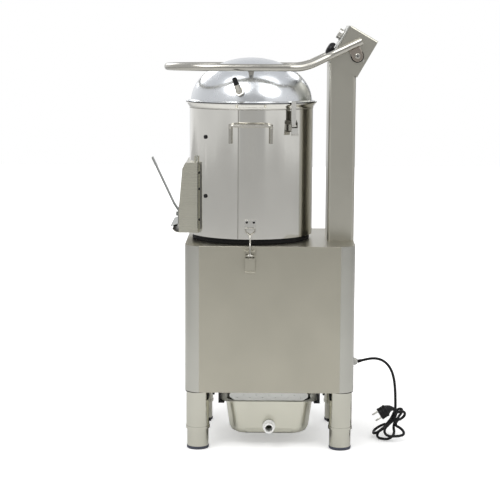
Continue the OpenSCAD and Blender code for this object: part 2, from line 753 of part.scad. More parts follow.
// Wire bail of a cabinet latch: a crank eye, a stem and a loop that hooks the drum's catch
module base_latch_bail() color(bright) {
    crank = [drum_x, -base_d / 2 - latch_crank_out, base_latch_z - crank_drop_base];
    bar_y = -drum_r - bar_out;
    tip = [drum_x, bar_y - 5, catch_z - 20];
    stem_wire = 2.4;
    stem_y = -base_d / 2 - latch_pin_out - latch_pin_r - stem_wire - 2 * fit;
    loop_w = catch_w / 2 + 4;
    difference() {
        union() {
            translate([drum_x - 7, crank[1], crank[2]]) rotate([0, 90, 0]) cylinder(r = 3.9, h = 14);
            sweep(rounded_path([[drum_x, stem_y, crank[2] + 2], [drum_x, stem_y, base_latch_z + 4],
                [drum_x, -base_d / 2 - 8, top_z + 8], tip], 6), stem_wire, 12, [1, 0, 0]);
        }
        translate([drum_x - 10, crank[1], crank[2]]) rotate([0, 90, 0])
            cylinder(r = latch_pin_r + run_fit, h = 20);
    }
    translate(tip) sphere(r = 3.2, $fn = 20);
    sweep(rounded_path([tip, [drum_x - loop_w, bar_y - 1, catch_z - 10], [drum_x - loop_w, bar_y, catch_z],
        [drum_x + loop_w, bar_y, catch_z], [drum_x + loop_w, bar_y - 1, catch_z - 10], tip], 3),
        1.6, 10, [0, 1, 0]);
}

// ---- Outlet ----

cheek_t = 2;
tab_turn = -54.5;

module cheek() translate([0, -chute_y, 0]) rotate([90, 0, 0]) translate([0, 0, -cheek_t])
    linear_extrude(cheek_t) polygon([[drum_x - 120, drum_z + 8], [chute_x, drum_z + 8],
        [chute_x, drum_z + 70], [door_x - 14, door_z + 12], [door_x - 5, door_z + 28],
        [drum_x - 120, door_z + 28]]);

module outlet_chute() {
    color(steel) difference() {
        union() {
            both_sides() cheek();
            translate([chute_x, -chute_y, drum_z + 8]) cube([60, 2 * chute_y, 2]);
            translate([door_x - 4, -chute_y, door_z + 26]) cube([40, 2 * chute_y, 2]);
            both_sides() intersection() {
                on_drum() translate([0, 0, drum_z + 10])
                    tube(drum_r + 0.2 + sheet, drum_r + 0.2, door_z + 14 - drum_z);
                translate([drum_x - 190, -chute_y - 10, 0]) cube([90, 11, 2 * top_z]);
            }
            translate([drum_x - 152.3, -chute_y + 4, door_z + 27]) cylinder(r = 2.2, h = 19);
        }
        on_drum() cylinder(r = drum_r + 0.2, h = 2 * top_z);
        translate([door_x, 0, door_z]) rotate([90, 0, 0])
            cylinder(r = door_pin_r + run_fit, h = 2 * chute_y + 6, center = true);
    }
    color(steel) translate([chute_x, 0, drum_z + 10]) rotate([90, 0, 0])
        linear_extrude(2 * chute_y - 2 * cheek_t, center = true) difference() {
            intersection() {
                translate([0, 18]) circle(20);
                translate([-17.5, -4]) square([17.5 + 2 * eps, 13]);
            }
            translate([0, 18]) circle(18);
        }
    color(bright) both_sides() {
        translate([door_x, 0, door_z]) rotate([90, 0, 0]) cylinder(r = door_pin_r, h = chute_y + 0.4);
        translate([door_x, -chute_y - 0.3, door_z]) rotate([90, 0, 0])
            cylinder(r = door_pin_r + 1.5, h = 2.5);
        for (z = [drum_z + 45, drum_z + 129, drum_z + 174]) on_wall(tab_turn)
            translate([0, -sheet, z]) rotate([90, 0, 0]) cylinder(r = 3.2, h = 3);
    }
}

door_w = 2 * (chute_y - cheek_t - slide_fit);

// The door: hinge barrel, a plate with a knee and an out-turned lip
module outlet_door() color(steel) difference() {
    union() {
        translate([door_x, 0, door_z]) rotate([90, 0, 0])
            cylinder(r = door_pin_r + 3, h = door_w, center = true);
        bent_plate([[door_face_x - 20, door_foot_z - 6], [door_face_x, door_foot_z],
            [door_face_x, drum_z + 68], [door_x - door_pin_r - 2.9, door_z]], door_t, door_w);
    }
    translate([door_x, 0, door_z]) rotate([90, 0, 0])
        cylinder(r = door_pin_r + run_fit, h = door_w + 10, center = true);
}

strap_x = door_face_x - fit - door_t;

module door_handle() color(steel) {
    bent_plate([[strap_x, door_foot_z + 2], [strap_x, drum_z + 57.4],
        [strap_x - 13.3, drum_z + 77.4], strap_tip], door_t, strap_w);
    translate([strap_x + eps, 0, door_foot_z + 16]) rotate([0, -90, 0]) cylinder(r = 6, h = 7);
}

// Rubber seal below the door's lip
module door_seal() color(black) translate([door_face_x, 0, door_foot_z])
    rotate([90, 0, 0]) linear_extrude(door_w - 4, center = true)
        polygon([[0, -3.1], [-3, -8.5], [-12.5, -11.5], [-13, -7]]);

// ---- Column and control head ----

column_in = 10;

module column() color(steel) difference() {
    translate([col_x + col_w / 2, 0, top_z]) difference() {
        plate(col_w, col_d, col_r, col_h + 40);
        translate([0, 0, -1]) plate(col_w - 2 * sheet, col_d - 2 * sheet, col_r - sheet, col_h + 50);
    }
    in_head() translate([-cut_reach, -cut_reach, column_in]) cube(2 * cut_reach);
    in_head() translate([head_gap - cut_reach, -cut_reach, -2]) cube([cut_reach, 2 * cut_reach, cut_reach]);
}

module head_box(inset, down) translate([inset, -head_w / 2 + inset, -down])
    cube([head_dep - 2 * inset, head_w - 2 * inset, head_len + down - inset]);

module control_head() color(steel) in_head() difference() {
    head_box(0, 0);
    head_box(sheet, 1);
    translate([-5, 0, knob_v]) rotate([0, 90, 0]) cylinder(r = spindle_r + 1.5, h = 15);
    translate([-5, 0, button_v]) rotate([0, 90, 0]) cylinder(r = stem_r + 1, h = 15);
    translate([pivot_u, 0, pivot_v]) rotate([90, 0, 0])
        cylinder(r = pivot_r + run_fit, h = head_w + 10, center = true);
}

knob_v = 80;
button_v = 31;
spindle_r = 3;
stem_r = 8;
panel_w = head_w - 16;
panel_len = head_len - 4;

module control_panel() color(bright) in_head() difference() {
    translate([-panel_t, -panel_w / 2, 2]) cube([panel_t - 0.2, panel_w, panel_len]);
    translate([-panel_t + sheet, -panel_w / 2 + sheet, 2 + sheet])
        cube([panel_t, panel_w - 2 * sheet, panel_len - 2 * sheet]);
    translate([-panel_t - 5, 0, knob_v]) rotate([0, 90, 0]) cylinder(r = spindle_r + 1, h = 15);
    translate([-panel_t - 5, 0, button_v]) rotate([0, 90, 0]) cylinder(r = stem_r + 0.4, h = 15);
}

module switchgear() color("#d9d6c8") in_head() {
    translate([sheet + 0.2, -22, knob_v - 22]) difference() {
        cube([46, 44, 44]);
        translate([-1, 22, 22]) rotate([0, 90, 0]) cylinder(r = spindle_r + run_fit, h = 30);
    }
    translate([sheet + 14, -20, button_v - 18]) cube([34, 40, 36]);
}

module timer_knob() color(bright) in_head() {
    translate([-panel_t - 1 - knob_h, 0, knob_v]) rotate([0, 90, 0]) {
        translate([0, 0, knob_h - 3]) cylinder(r = knob_r + 3, h = 3);
        cylinder(r = knob_r, h = knob_h - 3 + eps);
        translate([0, 0, knob_h - eps]) cylinder(r = spindle_r, h = panel_t + 20);
    }
    translate([-panel_t - 2 - knob_h, -1, knob_v + 2]) cube([1 + eps, 2, knob_r - 3]);
}

// Mushroom cap on a stem, standing off the panel by its travel
module stop_button() color(black) in_head()
    translate([-panel_t - button_travel - 0.5, 0, button_v]) rotate([0, 90, 0]) {
        rotate_extrude() polygon(concat([[0, 0], [button_r - 1, 0], [button_r, -3]],
            [for (a = [0:15:90]) [button_r - 13 + 13 * cos(a), -3 - 12.5 * sin(a)]], [[0, -16]]));
        translate([0, 0, -eps]) cylinder(r = stem_r, h = panel_t + button_travel + 10);
    }

module arm_pivot_bolts() color(bright) both_sides() {
    bolt_end = arm_y + lug_t / 2 + fit;
    translate([pivot[0], -bolt_end, pivot[1]]) rotate([-90, 0, 0])
        cylinder(r = pivot_r, h = bolt_end - head_w / 2 + 12);
    translate([pivot[0], -bolt_end - 5, pivot[1]]) rotate([-90, 0, 0])
        cylinder(r = pivot_r + 2, h = 4.5);
    translate([pivot[0], -head_w / 2 + sheet + 0.2, pivot[1]]) rotate([-90, 0, 0])
        cylinder(r = pivot_r + 4, h = 6, $fn = 6);
    translate([pivot[0] + 16.4, -head_w / 2 - 4, pivot[1] - 12.7]) rotate([-90, 0, 0])
        cylinder(r = 3, h = 4);
}

spacer_r = lug_r + 2.5;

module pivot_spacers() color(black) both_sides()
    translate([pivot[0], -arm_y + lug_t / 2 + fit, pivot[1]]) rotate([-90, 0, 0])
        tube(spacer_r, pivot_r + run_fit, arm_y - lug_t / 2 - fit - head_w / 2);

module lid_switch() color(black) in_head()
    translate([pivot_u + 2, -head_w / 2 + sheet + 0.2, pivot_v + 14]) cube([20, 16, 30]);

loom_r = 5;

// Where the mains branch passes the motor shelf
mains_at = [motor_x + 38, -120];

module wiring_loom() color("#3a3b3f") {
    mid = col_x + col_w / 2;
    start = head_place(28, button_v - 18 - fit);
    box_top = motor_z + 90 + motor_box[2] + fit;
    down = [sin(head_tilt), 0, cos(head_tilt)];
    sweep([start, start - 12 * down, [mid - 1, 0, head_z - 50], [mid, 0, head_z - 110],
        [mid, 0, top_z + 40], [mid, -2, top_z - 8], [mid - 1, -12, top_z - 21],
        [mid - 5, -36, top_z - 28], [mid - 13, -66, top_z - 33], [motor_x + 11, -75, top_z - 50],
        [motor_x + 6, -73, top_z - 80], [motor_x + 6, -72, box_top]], loom_r, 12, [0, 1, 0]);
    side = motor_x + motor_box[0] / 2 + fit;
    sweep([[base_w / 2 - sheet - 6.2, 0, gland_z], [base_w / 2 - 14, -5, gland_z],
        [base_w / 2 - 22, -24, gland_z + 2], [mains_at[0] + 4, -80, gland_z + 20],
        [mains_at[0], mains_at[1] + 3, gland_z + 48], [mains_at[0], mains_at[1], shelf_z + 2],
        [mains_at[0], mains_at[1] + 2, shelf_z + 50], [mains_at[0] - 2, -96, box_top - 60],
        [mains_at[0] - 5, -78, box_top - 41], [side + 7, -70.5, box_top - 34.5],
        [side + 3, -70, box_top - 34], [side, -70, box_top - 34]], 4, 12, [0, 0, 1]);
}

// ---- Lid and its arm ----

// Half-width of the loop and height of its tube at a distance t behind the bend's start
arm_bend_x = pivot[0] - arm_bend - bend_len / 2;
loop_front = drum_x - loop_reach + tube_r;
arm_slope = (arm_end[1] - arm_z) / (arm_end[0] - arm_bend_x - bend_len / 2);
function smooth(t) = t <= 0 ? 0 : t >= 1 ? 1 : t * t * (3 - 2 * t);
function arm_half(x) = loop_y + (arm_y - loop_y) * smooth((x - arm_bend_x + 20) / 130);
function arm_height(x) = let (t = x - arm_bend_x)
    t <= 0 ? arm_z : t < bend_len ? arm_z + arm_slope * t * t / (2 * bend_len)
        : arm_z + arm_slope * (t - bend_len / 2);
arm_side = concat([for (x = [arm_bend_x - 15:bend_len / 6:arm_end[0] - 8])
    [x, arm_half(x), arm_height(x)]], [[arm_end[0], arm_y, arm_height(arm_end[0])]]);
arm_front = [for (a = [90:7.5:270]) [loop_front + loop_y + loop_y * cos(a), loop_y * sin(a), arm_z]];
function backwards(path) = [for (i = [len(path) - 1:-1:0]) path[i]];
arm_path = concat(backwards(arm_side), arm_front, [for (p = arm_side) [p[0], -p[1], p[2]]]);

module lid_arm() color(bright) sweep(arm_path, tube_r, 20, [0, 0, 1]);

lug_top = arm_height(pivot[0]);
lug_lean = atan(arm_slope);

module arm_lugs() color(bright) both_sides() difference() {
    translate([pivot[0], -arm_y, pivot[1]]) rotate([90, 0, 0]) linear_extrude(lug_t, center = true) {
        circle(lug_r);
        rotate(lug_lean) translate([-lug_r, 0]) square([2 * lug_r, lug_top - pivot[1]]);
    }
    translate([pivot[0], -arm_y, lug_top]) rotate([0, 90 - lug_lean, 0])
        cylinder(r = tube_r + 0.05, h = 200, center = true);
    translate([pivot[0], 0, pivot[1]]) rotate([90, 0, 0])
        cylinder(r = pivot_r + run_fit, h = 300, center = true);
    translate([pivot[0], -arm_y, lug_top]) rotate([0, -lug_lean, 0])
        translate([-100, -10, tube_r - 3]) cube([200, 20, 60]);
}

function dome_points(inset) = [for (a = [0:4.5:90])
    [(dome_r - inset) * cos(a), (dome_h - inset) * sin(a)]];

module lid_dome() color("#e4e6e9") difference() {
    on_drum() translate([0, 0, lid_z]) rotate_extrude($fn = 128)
        polygon(concat([[dome_r - lid_t, 0], [dome_r + lid_flange, 0],
            [dome_r + lid_flange, lid_t], [dome_r, lid_t]],
            [for (p = dome_points(0)) if (p[1] > lid_t) p],
            [for (i = [20:-1:0]) let (p = dome_points(lid_t)[i]) if (p[1] > lid_t) p]));
    nozzle_frame() translate([0, 0, -20]) cylinder(r = nozzle_r + run_fit, h = 40);
}

// Angle about the drum and height on the dome of the water nozzle
nozzle_turn = -10.5;
nozzle_rise = 14;
nozzle_r = 8;

module nozzle_frame() on_drum() translate([0, 0, lid_z]) rotate([0, 0, nozzle_turn - 90])
    translate([dome_r * cos(nozzle_rise), 0, dome_h * sin(nozzle_rise)])
        rotate([0, 90 - nozzle_lean, 0]) children();

nozzle_lean = atan(sin(nozzle_rise) / dome_h * dome_r / cos(nozzle_rise));

module water_nozzle() nozzle_frame() {
    color(steel) difference() {
        union() {
            translate([0, 0, -6]) cylinder(r = nozzle_r, h = 12);
            translate([0, 0, 3]) cylinder(r = 13.5, h = 9, $fn = 6);
            translate([0, 0, 11]) sphere(r = 9);
            translate([0, 0, 11]) rotate([14, -42, 0]) cylinder(r = 8, h = 22);
        }
        translate([0, 0, -7]) cylinder(r = 4.5, h = 14);
    }
    color(black) translate([0, 0, 11]) rotate([14, -42, 0]) difference() {
        translate([0, 0, 22.2]) cylinder(r = 6.5, h = 17);
        translate([0, 0, 24]) cylinder(r = 4.5, h = 20);
    }
}

hanger_z = lid_z + dome_h * 0.68;

// Bolted hangers between the tube's sides and the dome
module lid_hangers() color(bright) both_sides() {
    foot = dome_r * sqrt(1 - pow((hanger_z - lid_z) / dome_h, 2));
    difference() {
        union() {
            translate([drum_x, -loop_y + 3, hanger_z]) rotate([-90, 0, 0])
                cylinder(r = 7, h = loop_y - foot + 12);
            translate([drum_x - 8, -loop_y - 2, hanger_z]) cube([16, 5, arm_z - hanger_z]);
        }
        on_drum() translate([0, 0, lid_z]) rotate_extrude($fn = 96) polygon(concat([[0, 0]],
            [for (a = [0:4.5:90]) [(dome_r + fit) * cos(a), (dome_h + fit) * sin(a)]]));
        translate([drum_x, -loop_y, arm_z]) rotate([0, 90, 0])
            cylinder(r = tube_r + 0.1, h = 60, center = true);
    }
}

// ---- Mains lead ----

gland_r = 9;

module cable_gland() color("#b4b4ae") translate([base_w / 2, 0, gland_z]) rotate([0, 90, 0])
    difference() {
        union() {
            translate([0, 0, 0.2]) cylinder(r = 12.5, h = 6, $fn = 6);
            translate([0, 0, 6]) cylinder(r = 10.5, h = 8);
            translate([0, 0, 14 - eps]) cylinder(r1 = 10.5, r2 = 7, h = 6);
            translate([0, 0, -sheet - 5]) cylinder(r = gland_r - run_fit, h = 7 + sheet);
            translate([0, 0, -sheet - 5]) cylinder(r = 12.5, h = 4.8, $fn = 6);
        }
        translate([0, 0, -20]) cylinder(r = cord_r + 0.2, h = 60);
    }

module power_cord() color(black)
    sweep([for (p = cord_route) [p[0], p[1], gland_z + p[2]]], cord_r, 10, [0, 1, 0]);

module plug_lead() color(black) sweep(plug_tail, cord_r, 10, [0, 0, 1]);

// Stand-in for the tied hank: its floor loops and its upper lobe in one solid
module cord_hank() color(black) hull() {
    translate([336, -36, 0.2]) scale([1, 1.25, 1]) cylinder(r = 37, h = 8, $fn = 32);
    translate([361, -30, hank_top - 8]) scale([1, 0.8, 1]) cylinder(r = 15, h = 8, $fn = 32);
}

module plug() translate(plug_at) rotate([0, -121, 8]) {
    color(black) {
        cylinder(r = 17.5, h = 22);
        translate([0, 0, -13]) cylinder(r1 = 8, r2 = 14, h = 13 + eps);
    }
    color("#c9cacc") for (x = [-9.5, 9.5]) translate([x, 0, 22 - eps]) cylinder(r = 2.4, h = 19);
}

// ---- What is drawn ----

module in_row() translate([row_x, 0, 0]) children();

in_row() base_cabinet();
in_row() base_floor();
in_row() leg_sleeves();
in_row() leg_clamp_screws();
in_row() drum_seal_ring();
in_row() catch_basin();
in_row() bearing_housing();
in_row() shaft_bearings();
in_row() motor_shelf();
in_row() motor_body();
in_row() drive_belt();
in_row() pan_rails();
in_row() column();
in_row() control_head();
in_row() control_panel();
in_row() switchgear();
in_row() arm_pivot_bolts();
in_row() pivot_spacers();
in_row() lid_switch();
in_row() wiring_loom();
in_row() drum_shell();
in_row() abrasive_liner();
in_row() liner_screws();
in_row() drum_handles();
in_row() drum_latch_plates();
in_row() base_latch_plates();
in_row() outlet_chute();
in_row() cable_gland();
in_row() { power_cord(); plug_lead(); }
in_row() cord_hank();
in_row() plug();
in_row() foot(-1, -1);  // foot_front_left
in_row() foot(1, -1);  // foot_front_right
in_row() foot(-1, 1);  // foot_rear_left
in_row() foot(1, 1);  // foot_rear_right
in_row() lid_arm();
in_row() arm_lugs();
in_row() lid_dome();
in_row() lid_hangers();
in_row() water_nozzle();
in_row() timer_knob();
in_row() stop_button();
in_row() outlet_door();
in_row() door_handle();
in_row() door_seal();
in_row() lid_latch_lever();  // lid_latch_lever_front
in_row() lid_latch_hook();  // lid_latch_hook_front
in_row() rear_side() lid_latch_lever();  // lid_latch_lever_rear
in_row() rear_side() lid_latch_hook();  // lid_latch_hook_rear
in_row() base_latch_lever();  // base_latch_lever_front
in_row() base_latch_bail();  // base_latch_bail_front
in_row() rear_side() base_latch_lever();  // base_latch_lever_rear
in_row() rear_side() base_latch_bail();  // base_latch_bail_rear
in_row() waste_pan();
in_row() pan_spigot();
in_row() strainer_plate();
in_row() abrasive_disc();
in_row() drive_shaft();
in_row() drive_pulley();
in_row() motor_pulley();
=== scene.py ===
"""Finish of an electric potato peeler: metals, rubber, controls and the free mains lead.

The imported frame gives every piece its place. Each operator dresses one piece, or a group of like
pieces, and the stage operator adds floor, lamps, world and camera. Lengths are in metres, X runs
from the outlet to the control column, Y away from the front and Z up.
"""

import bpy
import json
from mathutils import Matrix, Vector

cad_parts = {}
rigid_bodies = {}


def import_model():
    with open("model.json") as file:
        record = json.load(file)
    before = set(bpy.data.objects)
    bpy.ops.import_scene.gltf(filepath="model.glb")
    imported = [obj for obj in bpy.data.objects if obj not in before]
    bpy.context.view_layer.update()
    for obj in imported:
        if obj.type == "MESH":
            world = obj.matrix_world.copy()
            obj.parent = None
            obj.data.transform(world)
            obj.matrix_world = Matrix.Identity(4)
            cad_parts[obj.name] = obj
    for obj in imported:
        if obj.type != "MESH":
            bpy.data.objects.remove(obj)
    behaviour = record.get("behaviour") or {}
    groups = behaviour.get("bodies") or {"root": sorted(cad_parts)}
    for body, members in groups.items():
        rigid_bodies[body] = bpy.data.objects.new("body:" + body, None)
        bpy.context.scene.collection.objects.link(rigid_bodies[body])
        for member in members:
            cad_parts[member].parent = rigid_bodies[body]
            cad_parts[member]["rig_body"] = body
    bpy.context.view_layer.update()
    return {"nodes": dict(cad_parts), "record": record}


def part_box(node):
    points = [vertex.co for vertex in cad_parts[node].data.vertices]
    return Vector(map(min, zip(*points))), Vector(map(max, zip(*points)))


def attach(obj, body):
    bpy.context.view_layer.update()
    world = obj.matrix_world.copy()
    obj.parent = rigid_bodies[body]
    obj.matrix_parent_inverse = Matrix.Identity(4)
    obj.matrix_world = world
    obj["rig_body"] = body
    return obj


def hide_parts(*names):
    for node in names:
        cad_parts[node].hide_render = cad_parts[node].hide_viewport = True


bl_info = {
    "name": "Potato peeler",
    "version": (1, 0, 0),
    "blender": (4, 5, 0),
    "location": "3D View > Sidebar > Peeler",
    "description": "Dresses the frame of an electric potato peeler",
    "category": "Object",
}

import json
import math

import bmesh
import bpy
from bpy.props import FloatProperty, FloatVectorProperty, IntProperty, PointerProperty
from mathutils import Matrix, Vector

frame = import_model()
SLOTS = {part["node"]: part["material_slot"] for part in frame["record"]["subparts"]}

ORIGIN = Vector((0, 0, 0))
X_AXIS, Y_AXIS, Z_AXIS = Vector((1, 0, 0)), Vector((0, 1, 0)), Vector((0, 0, 1))


def node_box(node):
    """Lowest and highest corner of a frame node."""
    low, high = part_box(node)
    return Vector(low), Vector(high)


# Places that the frame gives
CABINET_LOW, CABINET_HIGH = node_box("base_cabinet")
MIDDLE_X = (CABINET_LOW.x + CABINET_HIGH.x) / 2
DOME_LOW, DOME_HIGH = node_box("lid_dome")
DRUM_X = (DOME_LOW.x + DOME_HIGH.x) / 2
DRUM_AXIS = Vector((DRUM_X, 0, 0))
RIM_Z = node_box("drum_shell")[1].z
SEAL_TOP = node_box("drum_seal_ring")[1].z
GLAND_Z = sum(corner.z for corner in node_box("cable_gland")) / 2

# A radius that is nearly nothing, for points on the axis of a turned piece
ON_AXIS = 1e-6

# Sizes of the frame's pieces that their boxes don't give
CHEEK_OUT = 0.0942
SLEEVE_RADIUS = 0.0318
SLEEVE_BEAD = 0.0012
HANDLE_REACH = 0.0423
DRUM_WALL = abs(node_box("drum_handles")[0].y) - HANDLE_REACH

# The chute's tabs on the drum: their turn from its front or rear, and their bolts over the seal
TAB_TURN = math.radians(54.5)
TAB_BOLT_HEIGHTS = (0.045, 0.129, 0.174)

# Lean of the control head, its lower front edge, and the knob's place on its panel
HEAD_LEAN = math.radians(30)
HEAD_OUT = Vector((-math.cos(HEAD_LEAN), 0, math.sin(HEAD_LEAN)))
HEAD_UP = Vector((math.sin(HEAD_LEAN), 0, math.cos(HEAD_LEAN)))
HEAD_EDGE = Vector((MIDDLE_X + 0.1595, 0, 1.0525))
PANEL_THICK = 0.005
PANEL_KNOB = HEAD_EDGE + HEAD_UP * 0.080 + HEAD_OUT * PANEL_THICK
KNOB_FACE = PANEL_KNOB + HEAD_OUT * 0.001


# ---- Settings that a user changes ----


def length(text, default):
    return FloatProperty(
        name=text, description=f"Length: {text}", default=default, min=0, max=1, unit="LENGTH",
        precision=4,
    )


def count(text, default, low):
    return IntProperty(name=text, description=f"Number: {text}", default=default, min=low)


def colour(text, default):
    return FloatVectorProperty(
        name=text, description=f"Colour: {text}", default=default, subtype="COLOR", size=3,
        min=0, max=1,
    )


def power(name, text, default):
    return FloatProperty(name=name, description=text, default=default, min=0)


class PeelerSizes(bpy.types.PropertyGroup):
    """Sizes of the details that the frame leaves to the finish."""

    head_fold: length("Radius of the folds on the control head", 0.0046)
    dome_sheet: length("Thickness of the dome's sheet", 0.0012)
    dome_flange: length("Width of the flat flange round the dome", 0.009)
    seam_width: length("Width of the drum's upright weld", 0.0022)
    weld_left: length("How far left of the drum's middle the weld runs", 0.0333)
    seam_height: length("Height of the weld over the drum's wall", 0.0004)
    knob_radius: length("Radius of the timer knob's grip", 0.014)
    knob_depth: length("Depth of the timer knob's grip", 0.009)
    knob_ribs: count("Grip ribs round the timer knob", 36, 8)
    dial_radius: length("Radius of the ring of marks round the timer knob", 0.0205)
    dial_marks: count("Marks round the timer knob", 12, 4)
    cord_width: length("Diameter of the mains lead", 0.0075)
    loop_scale: FloatProperty(
        name="Loop size", description="Size of the tied lead's loops", default=1, min=0.9, max=1.2
    )
    boot_length: length("Length of the tapered boot on the lead's gland", 0.012)
    tie_width: length("Width of the band round the tied lead", 0.009)
    grit_size: length("Radius of the largest grains on the abrasive", 0.0011)
    grit_count: count("Grains on the disc", 2200, 100)


class PeelerColours(bpy.types.PropertyGroup):
    """Colours of the finishes."""

    cabinet: colour("Brushed sheet of the cabinet", (0.47, 0.45, 0.375))
    # Painted highlight: the cabinet's rounded upright corners take this lighter, plainer colour for
    # the light that they catch.
    fold: colour("Rounded upright corners of the cabinet", (0.50, 0.495, 0.45))
    chute: colour("Cheeks and floor of the chute", (0.58, 0.565, 0.48))
    panel: colour("Front panel under the knob", (0.50, 0.50, 0.47))
    column: colour("Brushed sheet of column and head", (0.52, 0.505, 0.44))
    leg: colour("Leg sleeves and foot tubes", (0.56, 0.55, 0.48))
    drum: colour("Brushed sheet of the drum", (0.80, 0.785, 0.73))
    # Also colours the bead under the drum rim's flare, which is painted shadow.
    weld: colour("Upright weld on the drum", (0.30, 0.29, 0.26))
    dome: colour("Mirror finish of the dome", (0.76, 0.78, 0.80))
    pan: colour("Satin sheet of the waste pan", (0.66, 0.65, 0.56))
    sieve: colour("Strainer plate in the pan", (0.92, 0.92, 0.88))
    strap: colour("Handle and face of the outlet door", (0.32, 0.33, 0.31))
    lug: colour("Lugs that carry the arm", (0.42, 0.37, 0.32))
    # Painted shade: this dark colour stands for the shade on the lid latch levers' narrow sides; it
    # also colours the upper latch plates on the drum.
    lever: colour("Levers of the lid latches", (0.20, 0.19, 0.165))
    polished: colour("Arm and handles", (0.47, 0.455, 0.41))
    plate: colour("Latches, plates and screws", (0.66, 0.65, 0.61))
    machined: colour("Shaft and bearings", (0.55, 0.55, 0.56))
    alloy: colour("Bearing housing and pulleys", (0.50, 0.51, 0.52))
    motor: colour("Paint on the motor", (0.10, 0.13, 0.17))
    rubber: colour("Seals, belt and lead", (0.008, 0.008, 0.009))
    pad: colour("Pads under the feet", (0.080, 0.086, 0.112))
    plastic: colour("Button, screws and tie", (0.007, 0.007, 0.008))
    rail: colour("Rails under the cabinet", (0.018, 0.018, 0.018))
    grit: colour("Grit on disc and lining", (0.16, 0.15, 0.135))
    white: colour("Drain spigot", (0.93, 0.93, 0.91))
    light: colour("Timer and contactor", (0.66, 0.63, 0.54))
    gland: colour("Cable gland", (0.56, 0.56, 0.53))
    mark: colour("Marks round the timer knob", (0.03, 0.03, 0.035))


class PeelerStage(bpy.types.PropertyGroup):
    """Floor and lamps."""

    floor: colour("Floor under the machine", (0.90, 0.90, 0.90))
    key: power("Key lamp", "Power of the front left lamp", 52)
    fill: power("Fill lamp", "Power of the front right lamp", 26)
    top: power("Top lamps", "Power of each lamp overhead", 5.5)
    back: power("Back lamps", "Power of each lamp behind", 11)
    sky: power("Sky", "Strength of the even light", 0.62)


def sizes():
    return bpy.context.scene.peeler_sizes


def colours():
    return bpy.context.scene.peeler_colours


def stage_settings():
    return bpy.context.scene.peeler_stage


def show(thing):
    bpy.context.scene.collection.objects.link(thing)


# ---- Finishes ----


def fill(node, entries):
    """Sets a node's inputs: another node's output is joined on, anything else is a value."""
    for entry, value in entries.items():
        if isinstance(value, bpy.types.NodeSocket):
            node.id_data.links.new(value, node.inputs[entry])
        else:
            node.inputs[entry].default_value = value


def add(tree, kind, entries=None, **settings):
    """A shader or geometry node with its settings and some of its inputs set."""
    node = tree.nodes.new(kind)
    for name, value in settings.items():
        setattr(node, name, value)
    fill(node, entries or {})
    return node


def flow(tree, kind, output, entries=None, **settings):
    """One output of a new node."""
    return add(tree, kind, entries, **settings).outputs[output]


def new_finish(name, base, metallic, roughness, sheen=0.5):
    """A material with an even Principled shader, and its tree and shader."""
    finish = bpy.data.materials.new(name)
    finish.use_nodes = True
    tree = finish.node_tree
    shader = tree.nodes["Principled BSDF"]
    fill(shader, {"Base Color": (*base, 1), "Metallic": metallic, "Roughness": roughness,
                  "Specular IOR Level": sheen})
    return finish, tree, shader


def pattern(tree, stretch, detail=2.0):
    """Noise on Object coordinates, drawn out along the axes with a small stretch."""
    place = flow(tree, "ShaderNodeTexCoord", "Object")
    grain = flow(tree, "ShaderNodeMapping", "Vector", {"Vector": place, "Scale": stretch})
    return flow(tree, "ShaderNodeTexNoise", "Fac", {"Vector": grain, "Scale": 1, "Detail": detail})


def spread(tree, value, low, high):
    """The middle half of a noise mapped to a range."""
    limits = {"From Min": 0.3, "From Max": 0.7, "To Min": low, "To Max": high}
    return flow(tree, "ShaderNodeMapRange", "Result", {"Value": value, **limits})


def tint(tree, shader, value, base, share):
    """Colour that wanders between base and a share of it."""
    ends = {"A": (*[share * part for part in base], 1), "B": (*base, 1)}
    entries = {"Factor": spread(tree, value, 0, 1), **ends}
    fill(shader, {"Base Color": flow(tree, "ShaderNodeMix", "Result", entries, data_type="RGBA")})


def relief(tree, shader, value, strength, distance):
    """Bump from a noise."""
    entries = {"Height": value, "Strength": strength, "Distance": distance}
    fill(shader, {"Normal": flow(tree, "ShaderNodeBump", "Normal", entries)})


def brushed_metal(name, base, roughness, stretch, strength=0.12):
    """Sheet with fine scratches along the axes with a small stretch, and faint clouds."""
    finish, tree, shader = new_finish(name, base, 1, roughness)
    spare = roughness * 0.08
    scratches = pattern(tree, stretch)
    tint(tree, shader, pattern(tree, (9, 9, 7)), base, 0.93)
    fill(shader, {"Roughness": spread(tree, scratches, roughness - spare, roughness + spare)})
    relief(tree, shader, scratches, strength, 0.00012)
    return finish


def bright_metal(name, base, roughness, wave=0.02):
    """Polished metal with faint wipe marks."""
    finish, tree, shader = new_finish(name, base, 1, roughness)
    marks = pattern(tree, (34, 34, 34), 3.0)
    fill(shader, {"Roughness": spread(tree, marks, roughness * 0.75, roughness * 1.3)})
    relief(tree, shader, pattern(tree, (11, 11, 11), 1.0), wave, 0.002)
    return finish


def grained(name, base, roughness, scale, strength=0.25, metallic=0.0, share=0.8, sheen=0.22):
    """Rubber, plastic, paint or cast metal with a fine grain."""
    finish, tree, shader = new_finish(name, base, metallic, roughness, sheen)
    grain = pattern(tree, (scale, scale, scale))
    tint(tree, shader, pattern(tree, (30, 30, 30)), base, share)
    fill(shader, {"Roughness": spread(tree, grain, roughness - 0.05, roughness + 0.06)})
    relief(tree, shader, grain, strength, 0.00025)
    return finish


FINISHES = {}


